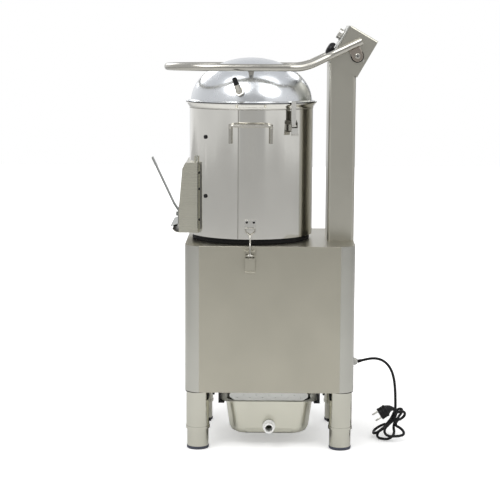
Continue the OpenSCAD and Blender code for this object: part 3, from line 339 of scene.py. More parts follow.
def make_finishes():
    """Every finish of the machine, by a plain name."""
    c = colours()
    fine, long = 2600, 5
    flat, tall = (long, long, fine), (fine, fine, long)
    FINISHES.update(
        cabinet=brushed_metal("brushed_cabinet_steel", c.cabinet, 0.30, flat, 0.003),
        # The fold finish is a painted highlight on the cabinet's rounded corners.
        fold=brushed_metal("cabinet_fold_steel", c.fold, 0.22, tall, 0.005),
        chute=brushed_metal("chute_steel", c.chute, 0.28, flat, 0.005),
        panel=brushed_metal("panel_steel", c.panel, 0.38, flat, 0.005),
        upright=brushed_metal("brushed_upright_steel", c.column, 0.30, tall, 0.01),
        leg=brushed_metal("brushed_leg_steel", c.leg, 0.13, tall, 0.04),
        drum=brushed_metal("brushed_drum_steel", c.drum, 0.10, tall, 0.03),
        weld=brushed_metal("weld_steel", c.weld, 0.45, tall),
        pan=brushed_metal("satin_pan_steel", c.pan, 0.3, flat, 0.003),
        sieve=brushed_metal("strainer_steel", c.sieve, 0.3, flat, 0.003),
        strap=brushed_metal("strap_steel", c.strap, 0.3, tall, 0.05),
        lug=brushed_metal("lug_steel", c.lug, 0.25, flat, 0.05),
        lever=brushed_metal("lever_steel", c.lever, 0.25, flat, 0.05),
        polished=bright_metal("polished_steel", c.polished, 0.2),
        mirror=bright_metal("mirror_dome_steel", c.dome, 0.23, 0.012),
        plate=brushed_metal("satin_plate_steel", c.plate, 0.24, flat, 0.015),
        machined=brushed_metal("machined_shaft_steel", c.machined, 0.22, flat, 0.1),
        alloy=grained("cast_pulley_alloy", c.alloy, 0.42, 900, 0.3, 1.0, 0.9),
        motor=grained("motor_paint", c.motor, 0.42, 700, 0.2),
        rubber=grained("black_rubber", c.rubber, 0.62, 1300),
        cord=grained("lead_sheath", c.rubber, 0.42, 900, 0.12),
        pad=grained("foot_rubber", c.pad, 0.6, 1200),
        plastic=grained("black_plastic", c.plastic, 0.34, 1500, 0.08),
        rail=grained("rail_paint", c.rail, 0.36, 1100, 0.15),
        grit=grained("abrasive_grit", c.grit, 0.85, 420, 1.0, 0.0, 0.55),
        white=grained("white_spigot_plastic", c.white, 0.32, 900, 0.05, 0.0, 0.97, 0.4),
        light=grained("light_switch_plastic", c.light, 0.45, 900, 0.08, 0.0, 0.95),
        gland=grained("gland_plastic", c.gland, 0.42, 900, 0.1, 0.0, 0.95, 0.4),
        mark=grained("dial_print", c.mark, 0.5, 900, 0.02),
    )


# ---- Meshes ----


def place_object(name, mesh, finish, body="root", nodes=(), slot=None):
    """Links a finished mesh, lets it ride on its body and stand for its frame nodes, if any."""
    mesh.materials.clear()
    mesh.materials.append(FINISHES[finish])
    piece = bpy.data.objects.new(name, mesh)
    show(piece)
    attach(piece, body)
    for node in nodes:
        own = frame["nodes"][node].data.materials
        own.clear()
        own.append(FINISHES[finish])
    if nodes:
        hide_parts(*nodes)
        slot = slot or SLOTS[nodes[0]]
    return piece


def body_of(node):
    return frame["nodes"][node]["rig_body"]


def joined_copy(node):
    """A frame node's mesh with its loose triangles joined and its flat faces made whole."""
    shape = bmesh.new()
    shape.from_mesh(frame["nodes"][node].data)
    bmesh.ops.remove_doubles(shape, verts=shape.verts, dist=1e-6)
    flat = math.radians(0.4)
    bmesh.ops.dissolve_limit(shape, angle_limit=flat, verts=shape.verts, edges=shape.edges)
    shape.faces.index_update()
    return shape


def islands(shape):
    """The faces of each solid in a mesh, as lists, the longest first."""
    left, found = set(shape.faces), []
    for first in shape.faces:
        if first not in left:
            continue
        left.remove(first)
        stack, group = [first], []
        while stack:
            face = stack.pop()
            group.append(face)
            near = {f for e in face.edges for f in e.link_faces if f in left}
            left -= near
            stack.extend(near)
        found.append(group)
    return sorted(found, key=len, reverse=True)


def extent(faces):
    """Lowest and highest corner of some faces."""
    points = [v.co for f in faces for v in f.verts]
    low = Vector([min(p[i] for p in points) for i in range(3)])
    high = Vector([max(p[i] for p in points) for i in range(3)])
    return low, high


def smooth_edges(mesh, angle):
    """Smooth shading up to an angle between faces."""
    mesh.shade_smooth()
    mesh.set_sharp_from_angle(angle=math.radians(angle))


def round_edges(piece, width):
    """Small rounds on a piece's edges, which catch the light."""
    if width > 0:
        bevel = piece.modifiers.new("edge_round", "BEVEL")
        bevel.width = width
        bevel.segments = 2
        bevel.limit_method = "ANGLE"
        bevel.angle_limit = math.radians(40)
        piece.modifiers.new("even_shade", "WEIGHTED_NORMAL").keep_sharp = True


def dress(node, finish, edge, angle=38, parts=None, shape=None, by_face=False):
    """Stands in for a frame node: joined, smooth, with rounded edges.

    parts(low, high) gives the finish of each of its solids, or of each face, by its box. Where it
    gives None, finish stays.
    """
    shape = shape or joined_copy(node)
    groups = {}
    whole = [[f] for f in shape.faces] if by_face else islands(shape)
    for faces in whole if parts else [list(shape.faces)]:
        chosen = (parts and parts(*extent(faces))) or finish
        groups.setdefault(chosen, set()).update(f.index for f in faces)
    stands_for, body = (node,), body_of(node)
    for chosen, keep in groups.items():
        part = shape.copy()
        part.faces.index_update()
        extra = [f for f in part.faces if f.index not in keep]
        bmesh.ops.delete(part, geom=extra, context="FACES")
        mesh = bpy.data.meshes.new(node)
        part.to_mesh(mesh)
        part.free()
        smooth_edges(mesh, angle)
        piece = place_object(f"{node}.{chosen}", mesh, chosen, body, stands_for, SLOTS[node])
        stands_for = ()
        round_edges(piece, edge)
    shape.free()


def grid_mesh(name, rings, closed_rows=False):
    """A mesh from rings of points, each ring closed, with end faces where the rows are open."""
    points = [p for ring in rings for p in ring]
    n = len(rings[0])
    rows = len(rings)
    faces = []
    for i in range(rows if closed_rows else rows - 1):
        a, b = i * n, ((i + 1) % rows) * n
        faces += [(a + k, a + (k + 1) % n, b + (k + 1) % n, b + k) for k in range(n)]
    if not closed_rows:
        faces += [tuple(range(n - 1, -1, -1)), tuple((rows - 1) * n + k for k in range(n))]
    mesh = bpy.data.meshes.new(name)
    mesh.from_pydata([tuple(p) for p in points], [], faces)
    shape = bmesh.new()
    shape.from_mesh(mesh)
    bmesh.ops.remove_doubles(shape, verts=shape.verts, dist=1e-7)
    bmesh.ops.recalc_face_normals(shape, faces=shape.faces)
    shape.to_mesh(mesh)
    shape.free()
    return mesh


def round_turn(count):
    """Angles at an even spacing once round."""
    return [2 * math.pi * k / count for k in range(count)]


def across(vector, axis):
    """The part of a direction that stands square to an axis."""
    return (vector - axis * vector.dot(axis)).normalized()


def facing(place, out):
    """Places a piece made about +Z, with +Z turned to a direction."""
    return Matrix.Translation(place) @ out.to_track_quat("Z", "Y").to_matrix().to_4x4()


def turned(name, outline, segments, place=ORIGIN, angle=30):
    """A closed outline of (radius, height) points turned about an upright axis."""
    rings = [[place + Vector((r * math.cos(a), r * math.sin(a), h)) for r, h in outline]
             for a in round_turn(segments)]
    mesh = grid_mesh(name, rings, closed_rows=True)
    smooth_edges(mesh, angle)
    return mesh


def gathered(name, parts):
    """Several small meshes as one."""
    shape = bmesh.new()
    for part in parts:
        shape.from_mesh(part)
    mesh = bpy.data.meshes.new(name)
    shape.to_mesh(mesh)
    shape.free()
    smooth_edges(mesh, 40)
    return mesh


def bolt_heads(name, outline, stands):
    """Dark heads at places with a direction each, as one piece."""
    heads = [turned("head", outline, 20) for _ in stands]
    for head, stand in zip(heads, stands):
        head.transform(facing(*stand))
    place_object(name, gathered(name, heads), "plastic")


def swept(name, path, radii, sides=16, up=Z_AXIS, angle=50):
    """A round tube along a path, with a radius at each point."""
    rings, side = [], up
    for i, (here, radius) in enumerate(zip(path, radii)):
        ahead = (path[min(i + 1, len(path) - 1)] - path[max(i - 1, 0)]).normalized()
        side = across(side, ahead)
        other = ahead.cross(side)
        turn = round_turn(sides)
        rings.append([here + radius * (math.cos(a) * side + math.sin(a) * other) for a in turn])
    mesh = grid_mesh(name, rings)
    smooth_edges(mesh, angle)
    return mesh


def smooth_path(points, spacing):
    """Points at an even spacing on the smooth curve that a route of points guides."""
    guide = [points[0]] * 2 + list(points) + [points[-1]] * 2
    fine = []
    for a, b, c, d in zip(guide, guide[1:], guide[2:], guide[3:]):
        for t in (k / 10 for k in range(10)):
            fine.append(((1 - t) ** 3 * a + (3 * t**3 - 6 * t**2 + 4) * b
                         + (-3 * t**3 + 3 * t**2 + 3 * t + 1) * c + t**3 * d) / 6)
    fine.append(points[-1].copy())
    even, run = [fine[0]], 0.0
    for a, b in zip(fine, fine[1:]):
        run += (b - a).length
        if run >= spacing:
            even.append(b)
            run = 0.0
    if (even[-1] - fine[-1]).length > spacing / 2:
        even.append(fine[-1])
    else:
        even[-1] = fine[-1]
    return even


# ---- Geometry Nodes: bars round a ring, and grains on a face ----


def node_group(name, inputs):
    """A node group that makes a mesh, the outputs of its input node, and its output node."""
    tree = bpy.data.node_groups.new(name, "GeometryNodeTree")
    for label, kind, default in (*inputs, ("Finish", "Material", None)):
        made = tree.interface.new_socket(label, in_out="INPUT", socket_type=f"NodeSocket{kind}")
        if default is not None:
            made.default_value = default
    tree.interface.new_socket("Geometry", in_out="OUTPUT", socket_type="NodeSocketGeometry")
    return tree, add(tree, "NodeGroupInput").outputs, add(tree, "NodeGroupOutput")


def paint_copies(tree, given, result, copies):
    """Makes the copies on points real and gives them the finish."""
    real = flow(tree, "GeometryNodeRealizeInstances", "Geometry", {"Geometry": copies})
    entries = {"Geometry": real, "Material": given["Finish"]}
    fill(result, {"Geometry": flow(tree, "GeometryNodeSetMaterial", "Geometry", entries)})


def ring_tree():
    """Bars that stand round a circle, each one turned towards the middle."""
    tree, given, result = node_group("ring_of_bars", (
        ("Count", "Int", 12), ("Radius", "Float", 0.02), ("Deep", "Float", 0.002),
        ("Wide", "Float", 0.001), ("High", "Float", 0.001),
    ))
    ring = {"Vertices": given["Count"], "Radius": given["Radius"]}
    size = {"X": given["Deep"], "Y": given["Wide"], "Z": given["High"]}
    bar = {"Size": flow(tree, "ShaderNodeCombineXYZ", "Vector", size)}
    out = {"Vector": flow(tree, "GeometryNodeInputPosition", "Position")}
    paint_copies(tree, given, result, flow(tree, "GeometryNodeInstanceOnPoints", "Instances", {
        "Points": flow(tree, "GeometryNodeMeshCircle", "Mesh", ring),
        "Instance": flow(tree, "GeometryNodeMeshCube", "Mesh", bar),
        "Rotation": flow(tree, "FunctionNodeAlignRotationToVector", "Rotation", out, axis="X"),
    }))


def grain_tree():
    """Small grains scattered over a face, with a fixed seed."""
    tree, given, result = node_group("scattered_grains", (
        ("Geometry", "Geometry", None), ("Density", "Float", 20000.0), ("Grain", "Float", 0.001),
        ("Seed", "Int", 4),
    ))
    bed = {"Mesh": given["Geometry"], "Density": given["Density"], "Seed": given["Seed"]}
    grain = {"Subdivisions": 1, "Radius": given["Grain"]}
    vary = {"Min": 0.45, "Seed": given["Seed"]}
    paint_copies(tree, given, result, flow(tree, "GeometryNodeInstanceOnPoints", "Instances", {
        "Points": flow(tree, "GeometryNodeDistributePointsOnFaces", "Points", bed),
        "Instance": flow(tree, "GeometryNodeMeshIcoSphere", "Mesh", grain),
        "Scale": flow(tree, "FunctionNodeRandomValue", 1, vary, data_type="FLOAT"),
    }))


def grown(tree, inputs, carrier=None):
    """The plain mesh that a node tree makes, from an empty or a given mesh."""
    holder = bpy.data.objects.new("holder", carrier or bpy.data.meshes.new("empty"))
    show(holder)
    modifier = holder.modifiers.new("grow", "NODES")
    modifier.node_group = tree
    for item in tree.interface.items_tree:
        if item.in_out == "INPUT" and item.name in inputs:
            modifier[item.identifier] = inputs[item.name]
    holder.update_tag()
    bpy.context.view_layer.update()
    graph = bpy.context.evaluated_depsgraph_get()
    mesh = bpy.data.meshes.new_from_object(holder.evaluated_get(graph))
    bpy.data.objects.remove(holder)
    return mesh


def ring_of_bars(count, radius, deep, wide, high, finish, place):
    """A ring of bars as a plain mesh, put in place by a matrix."""
    inputs = {"Count": count, "Radius": radius, "Deep": deep, "Wide": wide, "High": high}
    mesh = grown(bpy.data.node_groups["ring_of_bars"], {**inputs, "Finish": FINISHES[finish]})
    mesh.transform(place)
    return mesh


# ---- Cabinet, legs and feet ----


class PeelerOperator(bpy.types.Operator):
    """Shared settings of the peeler's operators."""

    bl_options = {"REGISTER", "UNDO"}

    def execute(self, context):
        self.build()
        return {"FINISHED"}


class PEELER_OT_cabinet(PeelerOperator):
    """Cabinet, its floor sheet, leg sleeves, clamp screws and seal ring"""

    bl_idname = "peeler.cabinet"
    bl_label = "Cabinet"

    def build(self):
        # Painted highlight: faces of the tall, narrow rounded corners get the lighter fold colour.
        def corners(low, high):
            size = high - low
            narrow = all(0.0004 < reach < 0.03 for reach in size.xy)
            return "fold" if size.z > 0.3 and narrow else None

        dress("base_cabinet", "cabinet", 0.0012, parts=corners, by_face=True)
        dress("base_floor", "sieve", 0)
        dress("leg_sleeves", "leg", 0.0005)
        dress("leg_clamp_screws", "plastic", 0.0003)
        self.sleeve_rings()
        dress("drum_seal_ring", "rubber", 0.002)

    def sleeve_rings(self):
        """Black rings between the cabinet's floor and the four leg sleeves, painted shadow for the
        dark gap where the sleeves meet the cabinet.
        """
        low, high = node_box("leg_sleeves")
        inner, outer, tall, gap = SLEEVE_RADIUS + 0.0001, SLEEVE_RADIUS + 0.0024, 0.0040, 0.0002
        outline = [(inner, 0), (outer, 0), (outer, tall), (inner, tall)]
        reach = SLEEVE_RADIUS + SLEEVE_BEAD
        rings = [turned("ring", outline, 48, Vector((x, y, CABINET_LOW.z - tall - gap)))
                 for x in (low.x + reach, high.x - reach) for y in (low.y + reach, high.y - reach)]
        place_object("sleeve_rings", gathered("sleeve_rings", rings), "rubber")


class PEELER_OT_feet(PeelerOperator):
    """Four foot tubes, each with its rubber pad"""

    bl_idname = "peeler.feet"
    bl_label = "Feet"

    def build(self):
        def by_height(low, high):
            return "pad" if high.z < 0.0085 else None

        for node in ("foot_front_left", "foot_front_right", "foot_rear_left", "foot_rear_right"):
            dress(node, "leg", 0.0004, parts=by_height, by_face=True)


# ---- Drum ----


class PEELER_OT_drum(PeelerOperator):
    """Drum shell with its weld, handles and lining screws"""

    bl_idname = "peeler.drum"
    bl_label = "Drum"

    def build(self):
        dress("drum_shell", "drum", 0.0005, angle=30)
        self.weld()
        self.rim_shade_rings()
        dress("drum_handles", "polished", 0.0003)
        dress("liner_screws", "plastic", 0.0008)

    def rim_shade_rings(self):
        """Dark ring round the rim's lip, partly a seal and partly painted shade for the gap under
        the lid, and a dark bead under the rim's flare, painted shadow in the form of a weld.
        """
        def ring(name, points, finish, slot=None):
            outline = [(radius, RIM_Z - below) for radius, below in points]
            place_object(name, turned(name, outline, 160, DRUM_AXIS), finish, slot=slot)

        # Painted shade, partly a real seal: black ring for the dark gap between the lid's flange
        # and the rim.
        seal = ((0.1790, 0.0018), (0.1806, 0.0016), (0.1806, 0.0001), (0.1790, 0.0001))
        ring("rim_seal", seal, "rubber")
        # Painted shadow: a dark weld-coloured bead for the shade under the rim's flare.
        bead = ((0.1700, 0.0184), (0.1710, 0.0180), (0.1714, 0.0172), (0.1710, 0.0162),
                (0.1700, 0.0160))
        ring("rim_bead", bead, "weld", SLOTS["drum_shell"])

    def weld(self):
        """The upright weld bead, a little left of the drum's front."""
        low, high = SEAL_TOP + 0.001, RIM_Z - 0.017
        half, proud = sizes().seam_width / 2, sizes().seam_height
        left = [(-half, -0.001), (-half, 0), (-half / 2, proud)]
        outline = left + [(-x, y) for x, y in reversed(left)]
        rings = [[Vector((x, -DRUM_WALL - y, z)) for x, y in outline] for z in (low, high)]
        mesh = grid_mesh("drum_weld", rings)
        smooth_edges(mesh, 60)
        turn = Matrix.Rotation(-math.asin(sizes().weld_left / DRUM_WALL), 4, "Z")
        mesh.transform(Matrix.Translation(DRUM_AXIS) @ turn)
        place_object("drum_weld", mesh, "weld", slot=SLOTS["drum_shell"])


class PEELER_OT_abrasive(PeelerOperator):
    """Abrasive lining and disc with their grains"""

    bl_idname = "peeler.abrasive"
    bl_label = "Abrasive"

    def build(self):
        dress("abrasive_liner", "grit", 0)
        dress("abrasive_disc", "grit", 0.0005)
        self.grains()

    def grains(self):
        """Grains on the disc's face, kept in one mesh on the disc's body."""
        low, high = node_box("abrasive_disc")
        radius = (high.x - low.x) / 2 - 0.004
        bed = high.z - 0.0155
        outline = [(DRUM_X + radius * math.cos(a), radius * math.sin(a), bed)
                   for a in round_turn(64)]
        face = bpy.data.meshes.new("grain_bed")
        face.from_pydata(outline, [], [tuple(range(len(outline)))])
        density = sizes().grit_count / (math.pi * radius**2)
        inputs = {"Density": density, "Grain": sizes().grit_size, "Finish": FINISHES["grit"]}
        mesh = grown(bpy.data.node_groups["scattered_grains"], inputs, face)
        place_object("disc_grains", mesh, "grit", body_of("abrasive_disc"))


# ---- Latches ----


class PEELER_OT_latches(PeelerOperator):
    """Toggle latches of lid and cabinet, with their plates and catches"""

    bl_idname = "peeler.latches"
    bl_label = "Latches"

    def build(self):
        def by_height(low, high):
            return "plate" if high.z < (CABINET_HIGH.z + RIM_Z) / 2 else None

        # Painted shade: the levers' narrow side faces keep the dark lever colour, the broad faces
        # take the plate colour.
        def shade_narrow_sides(low, high):
            return "plate" if high.x - low.x > 0.011 else None

        dress("drum_latch_plates", "lever", 0.0003, parts=by_height)
        self.rivets()
        dress("base_latch_plates", "cabinet", 0.0003)
        for side in ("front", "rear"):
            dress(f"lid_latch_lever_{side}", "lever", 0.0003, parts=shade_narrow_sides, by_face=True)
            dress(f"lid_latch_hook_{side}", "plate", 0.0003)
            dress(f"base_latch_lever_{side}", "cabinet", 0.0006)
            dress(f"base_latch_bail_{side}", "polished", 0)

    def rivets(self):
        """Two dark rivets over the catch that each cabinet latch hooks."""
        outline = [(ON_AXIS, 0), (ON_AXIS, 0.0016), (0.0020, 0.0013), (0.0032, 0.0004), (0.0034, 0)]
        off, level = DRUM_WALL + 0.0034, SEAL_TOP + 0.047
        stands = [(Vector((DRUM_X + x, side * off, level)), Y_AXIS * side)
                  for side in (-1, 1) for x in (-0.0095, 0.0095)]
        bolt_heads("catch_rivets", outline, stands)


# ---- Outlet ----


class PEELER_OT_outlet(PeelerOperator):
    """Outlet chute and its door with handle and seal"""

    bl_idname = "peeler.outlet"
    bl_label = "Outlet"

    def build(self):
        def by_place(low, high):
            place = (low + high) / 2
            if abs(place.y) < CHEEK_OUT:
                return None
            return "chute" if place.x < DRUM_X - 0.155 else "leg"

        dress("outlet_chute", "chute", 0.0004, parts=by_place, by_face=True)
        dress("outlet_door", "strap", 0.0004)
        dress("door_handle", "strap", 0.0004)
        dress("door_seal", "rubber", 0.0008)
        self.gaskets()
        self.tab_bolts()

    def tab_bolts(self):
        """Small dark bolt heads on the chute's tabs."""
        outline = [(ON_AXIS, 0), (ON_AXIS, 0.0052), (0.0024, 0.0048), (0.0036, 0.0036), (0.0037, 0)]
        stands = []
        for side in (-1, 1):
            out = Vector((-math.sin(TAB_TURN), side * math.cos(TAB_TURN), 0))
            stands += [(Vector((DRUM_X, 0, SEAL_TOP + height)) + out * DRUM_WALL, out)
                       for height in TAB_BOLT_HEIGHTS]
        bolt_heads("tab_bolts", outline, stands)

    def gaskets(self):
        """Black strips along the chute's tabs on the drum, at the front and at the rear."""
        low, high = node_box("outlet_chute")
        for side, end in ((-1, "front"), (1, "rear")):
            for out, width in ((high.y + 0.0004, 0.0016), (high.y - 0.0095, 0.0014)):
                x = DRUM_X - math.sqrt((DRUM_WALL + 0.0021) ** 2 - out**2)
                path = [Vector((x, side * out, z)) for z in (low.z + 0.012, high.z - 0.016)]
                name = f"chute_gasket_{end}_{round(out * 10000)}"
                place_object(name, swept(name, path, [width / 2] * 2, 8, X_AXIS), "rubber")


# ---- Lid ----


class PEELER_OT_lid(PeelerOperator):
    """Domed lid, its hangers and the water elbow"""

    bl_idname = "peeler.lid"
    bl_label = "Lid"

    def build(self):
        self.dome()
        dress("lid_hangers", "polished", 0.0005)
        top = node_box("water_nozzle")[1].z

        def hose_tail(low, high):
            return "plastic" if high.z > top - 0.0005 else None

        dress("water_nozzle", "polished", 0.0006, parts=hose_tail)

    def dome(self):
        """Half an ellipsoid with a wall, a flat flange and a small turned-down lip."""
        s = sizes()
        outer = (DOME_HIGH.x - DOME_LOW.x) / 2 - s.dome_flange
        tall = DOME_HIGH.z - DOME_LOW.z
        wall, steps = s.dome_sheet, 44
        turns = [math.pi / 2 * k / steps for k in range(steps + 1)]
        edge = outer + s.dome_flange
        outline = [(outer - wall, 0.0), (edge - 0.0008, 0.0), (edge, 0.0004), (edge, wall),
                   (edge - 0.0006, wall + 0.0006), (outer + 0.0022, wall + 0.0006)]
        rise = [(outer * math.cos(a), tall * math.sin(a)) for a in turns]
        outline += [(max(r, ON_AXIS), h) for r, h in rise if h > wall + 0.002]
        inside = [((outer - wall) * math.cos(a), (tall - wall) * math.sin(a))
                  for a in reversed(turns)]
        outline += [(max(r, ON_AXIS), h) for r, h in inside if h > wall + 0.001]
        mesh = turned("dome", outline, 192, Vector((DRUM_X, 0, DOME_LOW.z)), 35)
        place_object("dome", mesh, "mirror", body_of("lid_dome"), ("lid_dome",))


class PEELER_OT_arm(PeelerOperator):
    """Lid arm, its lugs, pivot bolts and spacers"""

    bl_idname = "peeler.arm"
    bl_label = "Arm"

    def build(self):
        dress("lid_arm", "polished", 0, angle=60)
        dress("arm_lugs", "lug", 0.0008)
        dress("arm_pivot_bolts", "plate", 0.0005)
        dress("pivot_spacers", "rubber", 0.0005)
        self.bolt_rings()

    def bolt_rings(self):
        """A bright ring round a dark disc on the head of each pivot bolt; the dark disc is painted
        shade for the socket's hollow.
        """
        low, high = node_box("arm_pivot_bolts")
        pivot = sum(node_box("pivot_spacers"), ORIGIN) / 2
        ring = [(0.0042, -0.001), (0.0042, 0.0006), (0.0048, 0.0012), (0.0058, 0.0012),
                (0.0066, 0.0006), (0.0068, -0.001)]
        # Painted shade: a raised black disc stands for the shade in the bolt's socket.
        hole = [(ON_AXIS, -0.0008), (ON_AXIS, 0.0003), (0.0022, 0.0003), (0.0026, -0.0008)]
        for side, face in (("front", low.y), ("rear", high.y)):
            turn = Matrix.Rotation(-math.copysign(math.pi / 2, face), 4, "X")
            for name, outline, steps, finish in (
                ("ring", ring, 40, "polished"), ("socket", hole, 24, "rubber"),
            ):
                mesh = turned(name, outline, steps)
                mesh.transform(Matrix.Translation((pivot.x, face, pivot.z)) @ turn)
                place_object(f"bolt_{name}_{side}", mesh, finish, body_of("arm_pivot_bolts"))


# ---- Column and controls ----


class PEELER_OT_column(PeelerOperator):
    """Column, control head and the switch gear inside"""

    bl_idname = "peeler.column"
    bl_label = "Column"

    def build(self):
        dress("column", "upright", 0.0006)
        self.head()
        dress("switchgear", "light", 0.001)
        dress("lid_switch", "plastic", 0.001)
        dress("wiring_loom", "rubber", 0)

    def head(self):
        """Folded head with wide rounds where its top meets its two sides."""
        shape = joined_copy("control_head")
        side = node_box("control_head")[1].y
        folds = [e for e in shape.edges if e.calc_length() > 0.05
                 and abs(abs(e.verts[0].co.y + e.verts[1].co.y) / 2 - side) < 1e-4
                 and all((v.co - HEAD_EDGE).dot(HEAD_UP) > 0.1 for v in e.verts)]
        if len(folds) != 2:
            raise RuntimeError(f"the head has {len(folds)} upper folds, not 2")
        bmesh.ops.bevel(shape, geom=folds, offset=sizes().head_fold, offset_type="OFFSET",
                        segments=5, profile=0.5, affect="EDGES", clamp_overlap=False)
        shape.faces.index_update()
        dress("control_head", "upright", 0, angle=30, shape=shape)


class PEELER_OT_controls(PeelerOperator):
    """Control panel with its timer knob, dial marks and stop button"""

    bl_idname = "peeler.controls"
    bl_label = "Controls"

    def build(self):
        dress("control_panel", "panel", 0.001)
        dress("timer_knob", "plate", 0.0006)
        dress("stop_button", "plastic", 0.0004, angle=60)
        self.knob_ribs()
        self.dial()

    def knob_ribs(self):
        """Grip ribs round the timer knob."""
        s = sizes()
        place = facing(KNOB_FACE + HEAD_OUT * (s.knob_depth / 2 + 0.003), HEAD_OUT)
        rib, tall = 0.0011, s.knob_depth * 0.9
        mesh = ring_of_bars(s.knob_ribs, s.knob_radius, rib, rib, tall, "plate", place)
        place_object("knob_ribs", mesh, "plate", body_of("timer_knob"), slot=SLOTS["timer_knob"])

    def dial(self):
        """Printed marks round the timer knob."""
        s = sizes()
        place = facing(PANEL_KNOB + HEAD_OUT * 0.0001, HEAD_OUT)
        mesh = ring_of_bars(s.dial_marks, s.dial_radius, 0.0032, 0.0007, 0.0002, "mark", place)
        place_object("dial_marks", mesh, "mark")


# ---- Pan ----


class PEELER_OT_pan(PeelerOperator):
    """Waste pan on its rails, strainer plate and drain spigot"""

    bl_idname = "peeler.pan"
    bl_label = "Waste pan"

    def build(self):
        dress("waste_pan", "pan", 0.0004)
        dress("strainer_plate", "sieve", 0)
        dress("pan_spigot", "white", 0.0006)
        dress("pan_rails", "rail", 0.0004)


# ---- Drive ----


class PEELER_OT_drive(PeelerOperator):
    """Motor, shelf, belt, pulleys, shaft, bearings and catch basin"""

    bl_idname = "peeler.drive"
    bl_label = "Drive"

    def build(self):
        for node, finish, edge in (
            ("catch_basin", "plate", 0.0004), ("bearing_housing", "alloy", 0.0012),
            ("shaft_bearings", "machined", 0.0004), ("drive_shaft", "machined", 0.0006),
            ("motor_shelf", "cabinet", 0.0008), ("motor_body", "motor", 0.0008),
            ("drive_belt", "rubber", 0.0005), ("drive_pulley", "alloy", 0.0006),
            ("motor_pulley", "alloy", 0.0006),
        ):
            dress(node, finish, edge)


# ---- Mains lead ----

# The lead's route from the gland to the hank: x from the cabinet's middle, y, height over the gland
LEAD_ROUTE = (
    (0.2502, 0, 0), (0.2620, 0, 0.0026), (0.2760, -0.001, 0.0065), (0.2910, -0.002, 0.0095),
    (0.3060, -0.004, 0.0095), (0.3210, -0.006, 0.0050), (0.3340, -0.009, -0.0045),
    (0.3440, -0.012, -0.0180), (0.3510, -0.015, -0.0360), (0.3550, -0.018, -0.0570),
    (0.3570, -0.021, -0.0800), (0.3575, -0.023, -0.1000), (0.3580, -0.026, -0.1180),
    (0.3575, -0.030, -0.1340),
)
# Out of the tie and up to the plug: x from the cabinet's middle, y, height over the floor
TAIL_ROUTE = (
    (0.3580, -0.041, 0.064), (0.3585, -0.048, 0.074), (0.3560, -0.054, 0.082),
    (0.3510, -0.0575, 0.0875),
)
TIE_PLACE = Vector((MIDDLE_X + 0.353, -0.036, 0.049))
TIE_AXIS = Vector((0.5, 0.15, 0.85)).normalized()
TIE_SIDE = across(TIE_AXIS.cross(Vector((-0.3, 1, 0))), TIE_AXIS)
TIE_BACK = TIE_AXIS.cross(TIE_SIDE)
# Each loop of the hank: where it heads from the tie, the direction across it, its reach, its radius
FLOOR_LOOPS = (
    ((-0.84, 0.12, -0.53), (0.1, 1.0, 0.05), 0.050, 0.024),
    ((-0.45, -0.66, -0.52), (0.8, -0.6, 0.0), 0.050, 0.026),
    ((0.20, -0.88, -0.44), (1.0, 0.22, 0.0), 0.052, 0.029),
)
UPPER_LOOPS = (
    ((0.72, 0.60, 0.10), (0.15, -0.5, 0.8), 0.026, 0.0135),
    ((0.80, 0.42, -0.06), (0.15, -0.5, 0.8), 0.026, 0.0135),
)
# Half the gap between a loop's two strands in the tie, and the run that turns them out of it
NECK_HALF = 0.005
TURN_IN = 0.034
PLUG_PLACE = Vector((MIDDLE_X + 0.329, -0.062, 0.084))
PLUG_TURN, PLUG_LEAN = math.radians(8), math.radians(-121)
PLUG_AXIS = Matrix.Rotation(PLUG_TURN, 3, "Z") @ Matrix.Rotation(PLUG_LEAN, 3, "Y") @ Z_AXIS


def eased(share):
    """A share from 0 to 1 that starts and ends gently."""
    return share * share * (3 - 2 * share)


def loop_outline(reach, radius):
    """One loop in its own plane: from the neck, round the end and back, as (along, side) points."""
    neck = (reach**2 - (radius**2 - NECK_HALF**2)) / (2 * (radius - NECK_HALF))
    lean = math.atan2(reach, NECK_HALF + neck)
    first = [(neck * math.sin(lean * t), NECK_HALF + neck - neck * math.cos(lean * t))
             for t in (0.5, 0.95)]
    start = math.pi / 2 + lean
    round_end = [(reach + radius * math.cos(a), radius * math.sin(a))
                 for a in (-start + 2 * start * k / 8 for k in range(9))]
    return [(p, -q) for p, q in first] + round_end + list(reversed(first))


def hank_loop(up, toward, crossing, reach, radius, rows):
    """Points of one loop that bends out of the tie towards a direction, while it shifts rows."""
    out = Vector(toward).normalized()
    side = across(Vector(crossing), out)
    side = side if side.dot(TIE_SIDE) > 0 else -side
    outline = loop_outline(reach * sizes().loop_scale, radius * sizes().loop_scale)
    step, run, line = 0.001, ORIGIN.copy(), []
    for k in range(70):
        ease = eased(min(1.0, k * step / TURN_IN))
        ahead = ((1 - ease) * up * TIE_AXIS + ease * out).normalized()
        line.append((run.copy(), ahead, across((1 - ease) * TIE_SIDE + ease * side, ahead)))
        run += ahead * step
    points = []
    for k, (along, sideways) in enumerate(outline):
        base, ahead, cross = line[min(len(line) - 1, max(0, round(along / step)))]
        row = rows[0] + (rows[1] - rows[0]) * eased(k / (len(outline) - 1))
        points.append(TIE_PLACE + base - cross * sideways * up + ahead.cross(cross) * up * row)
    return points


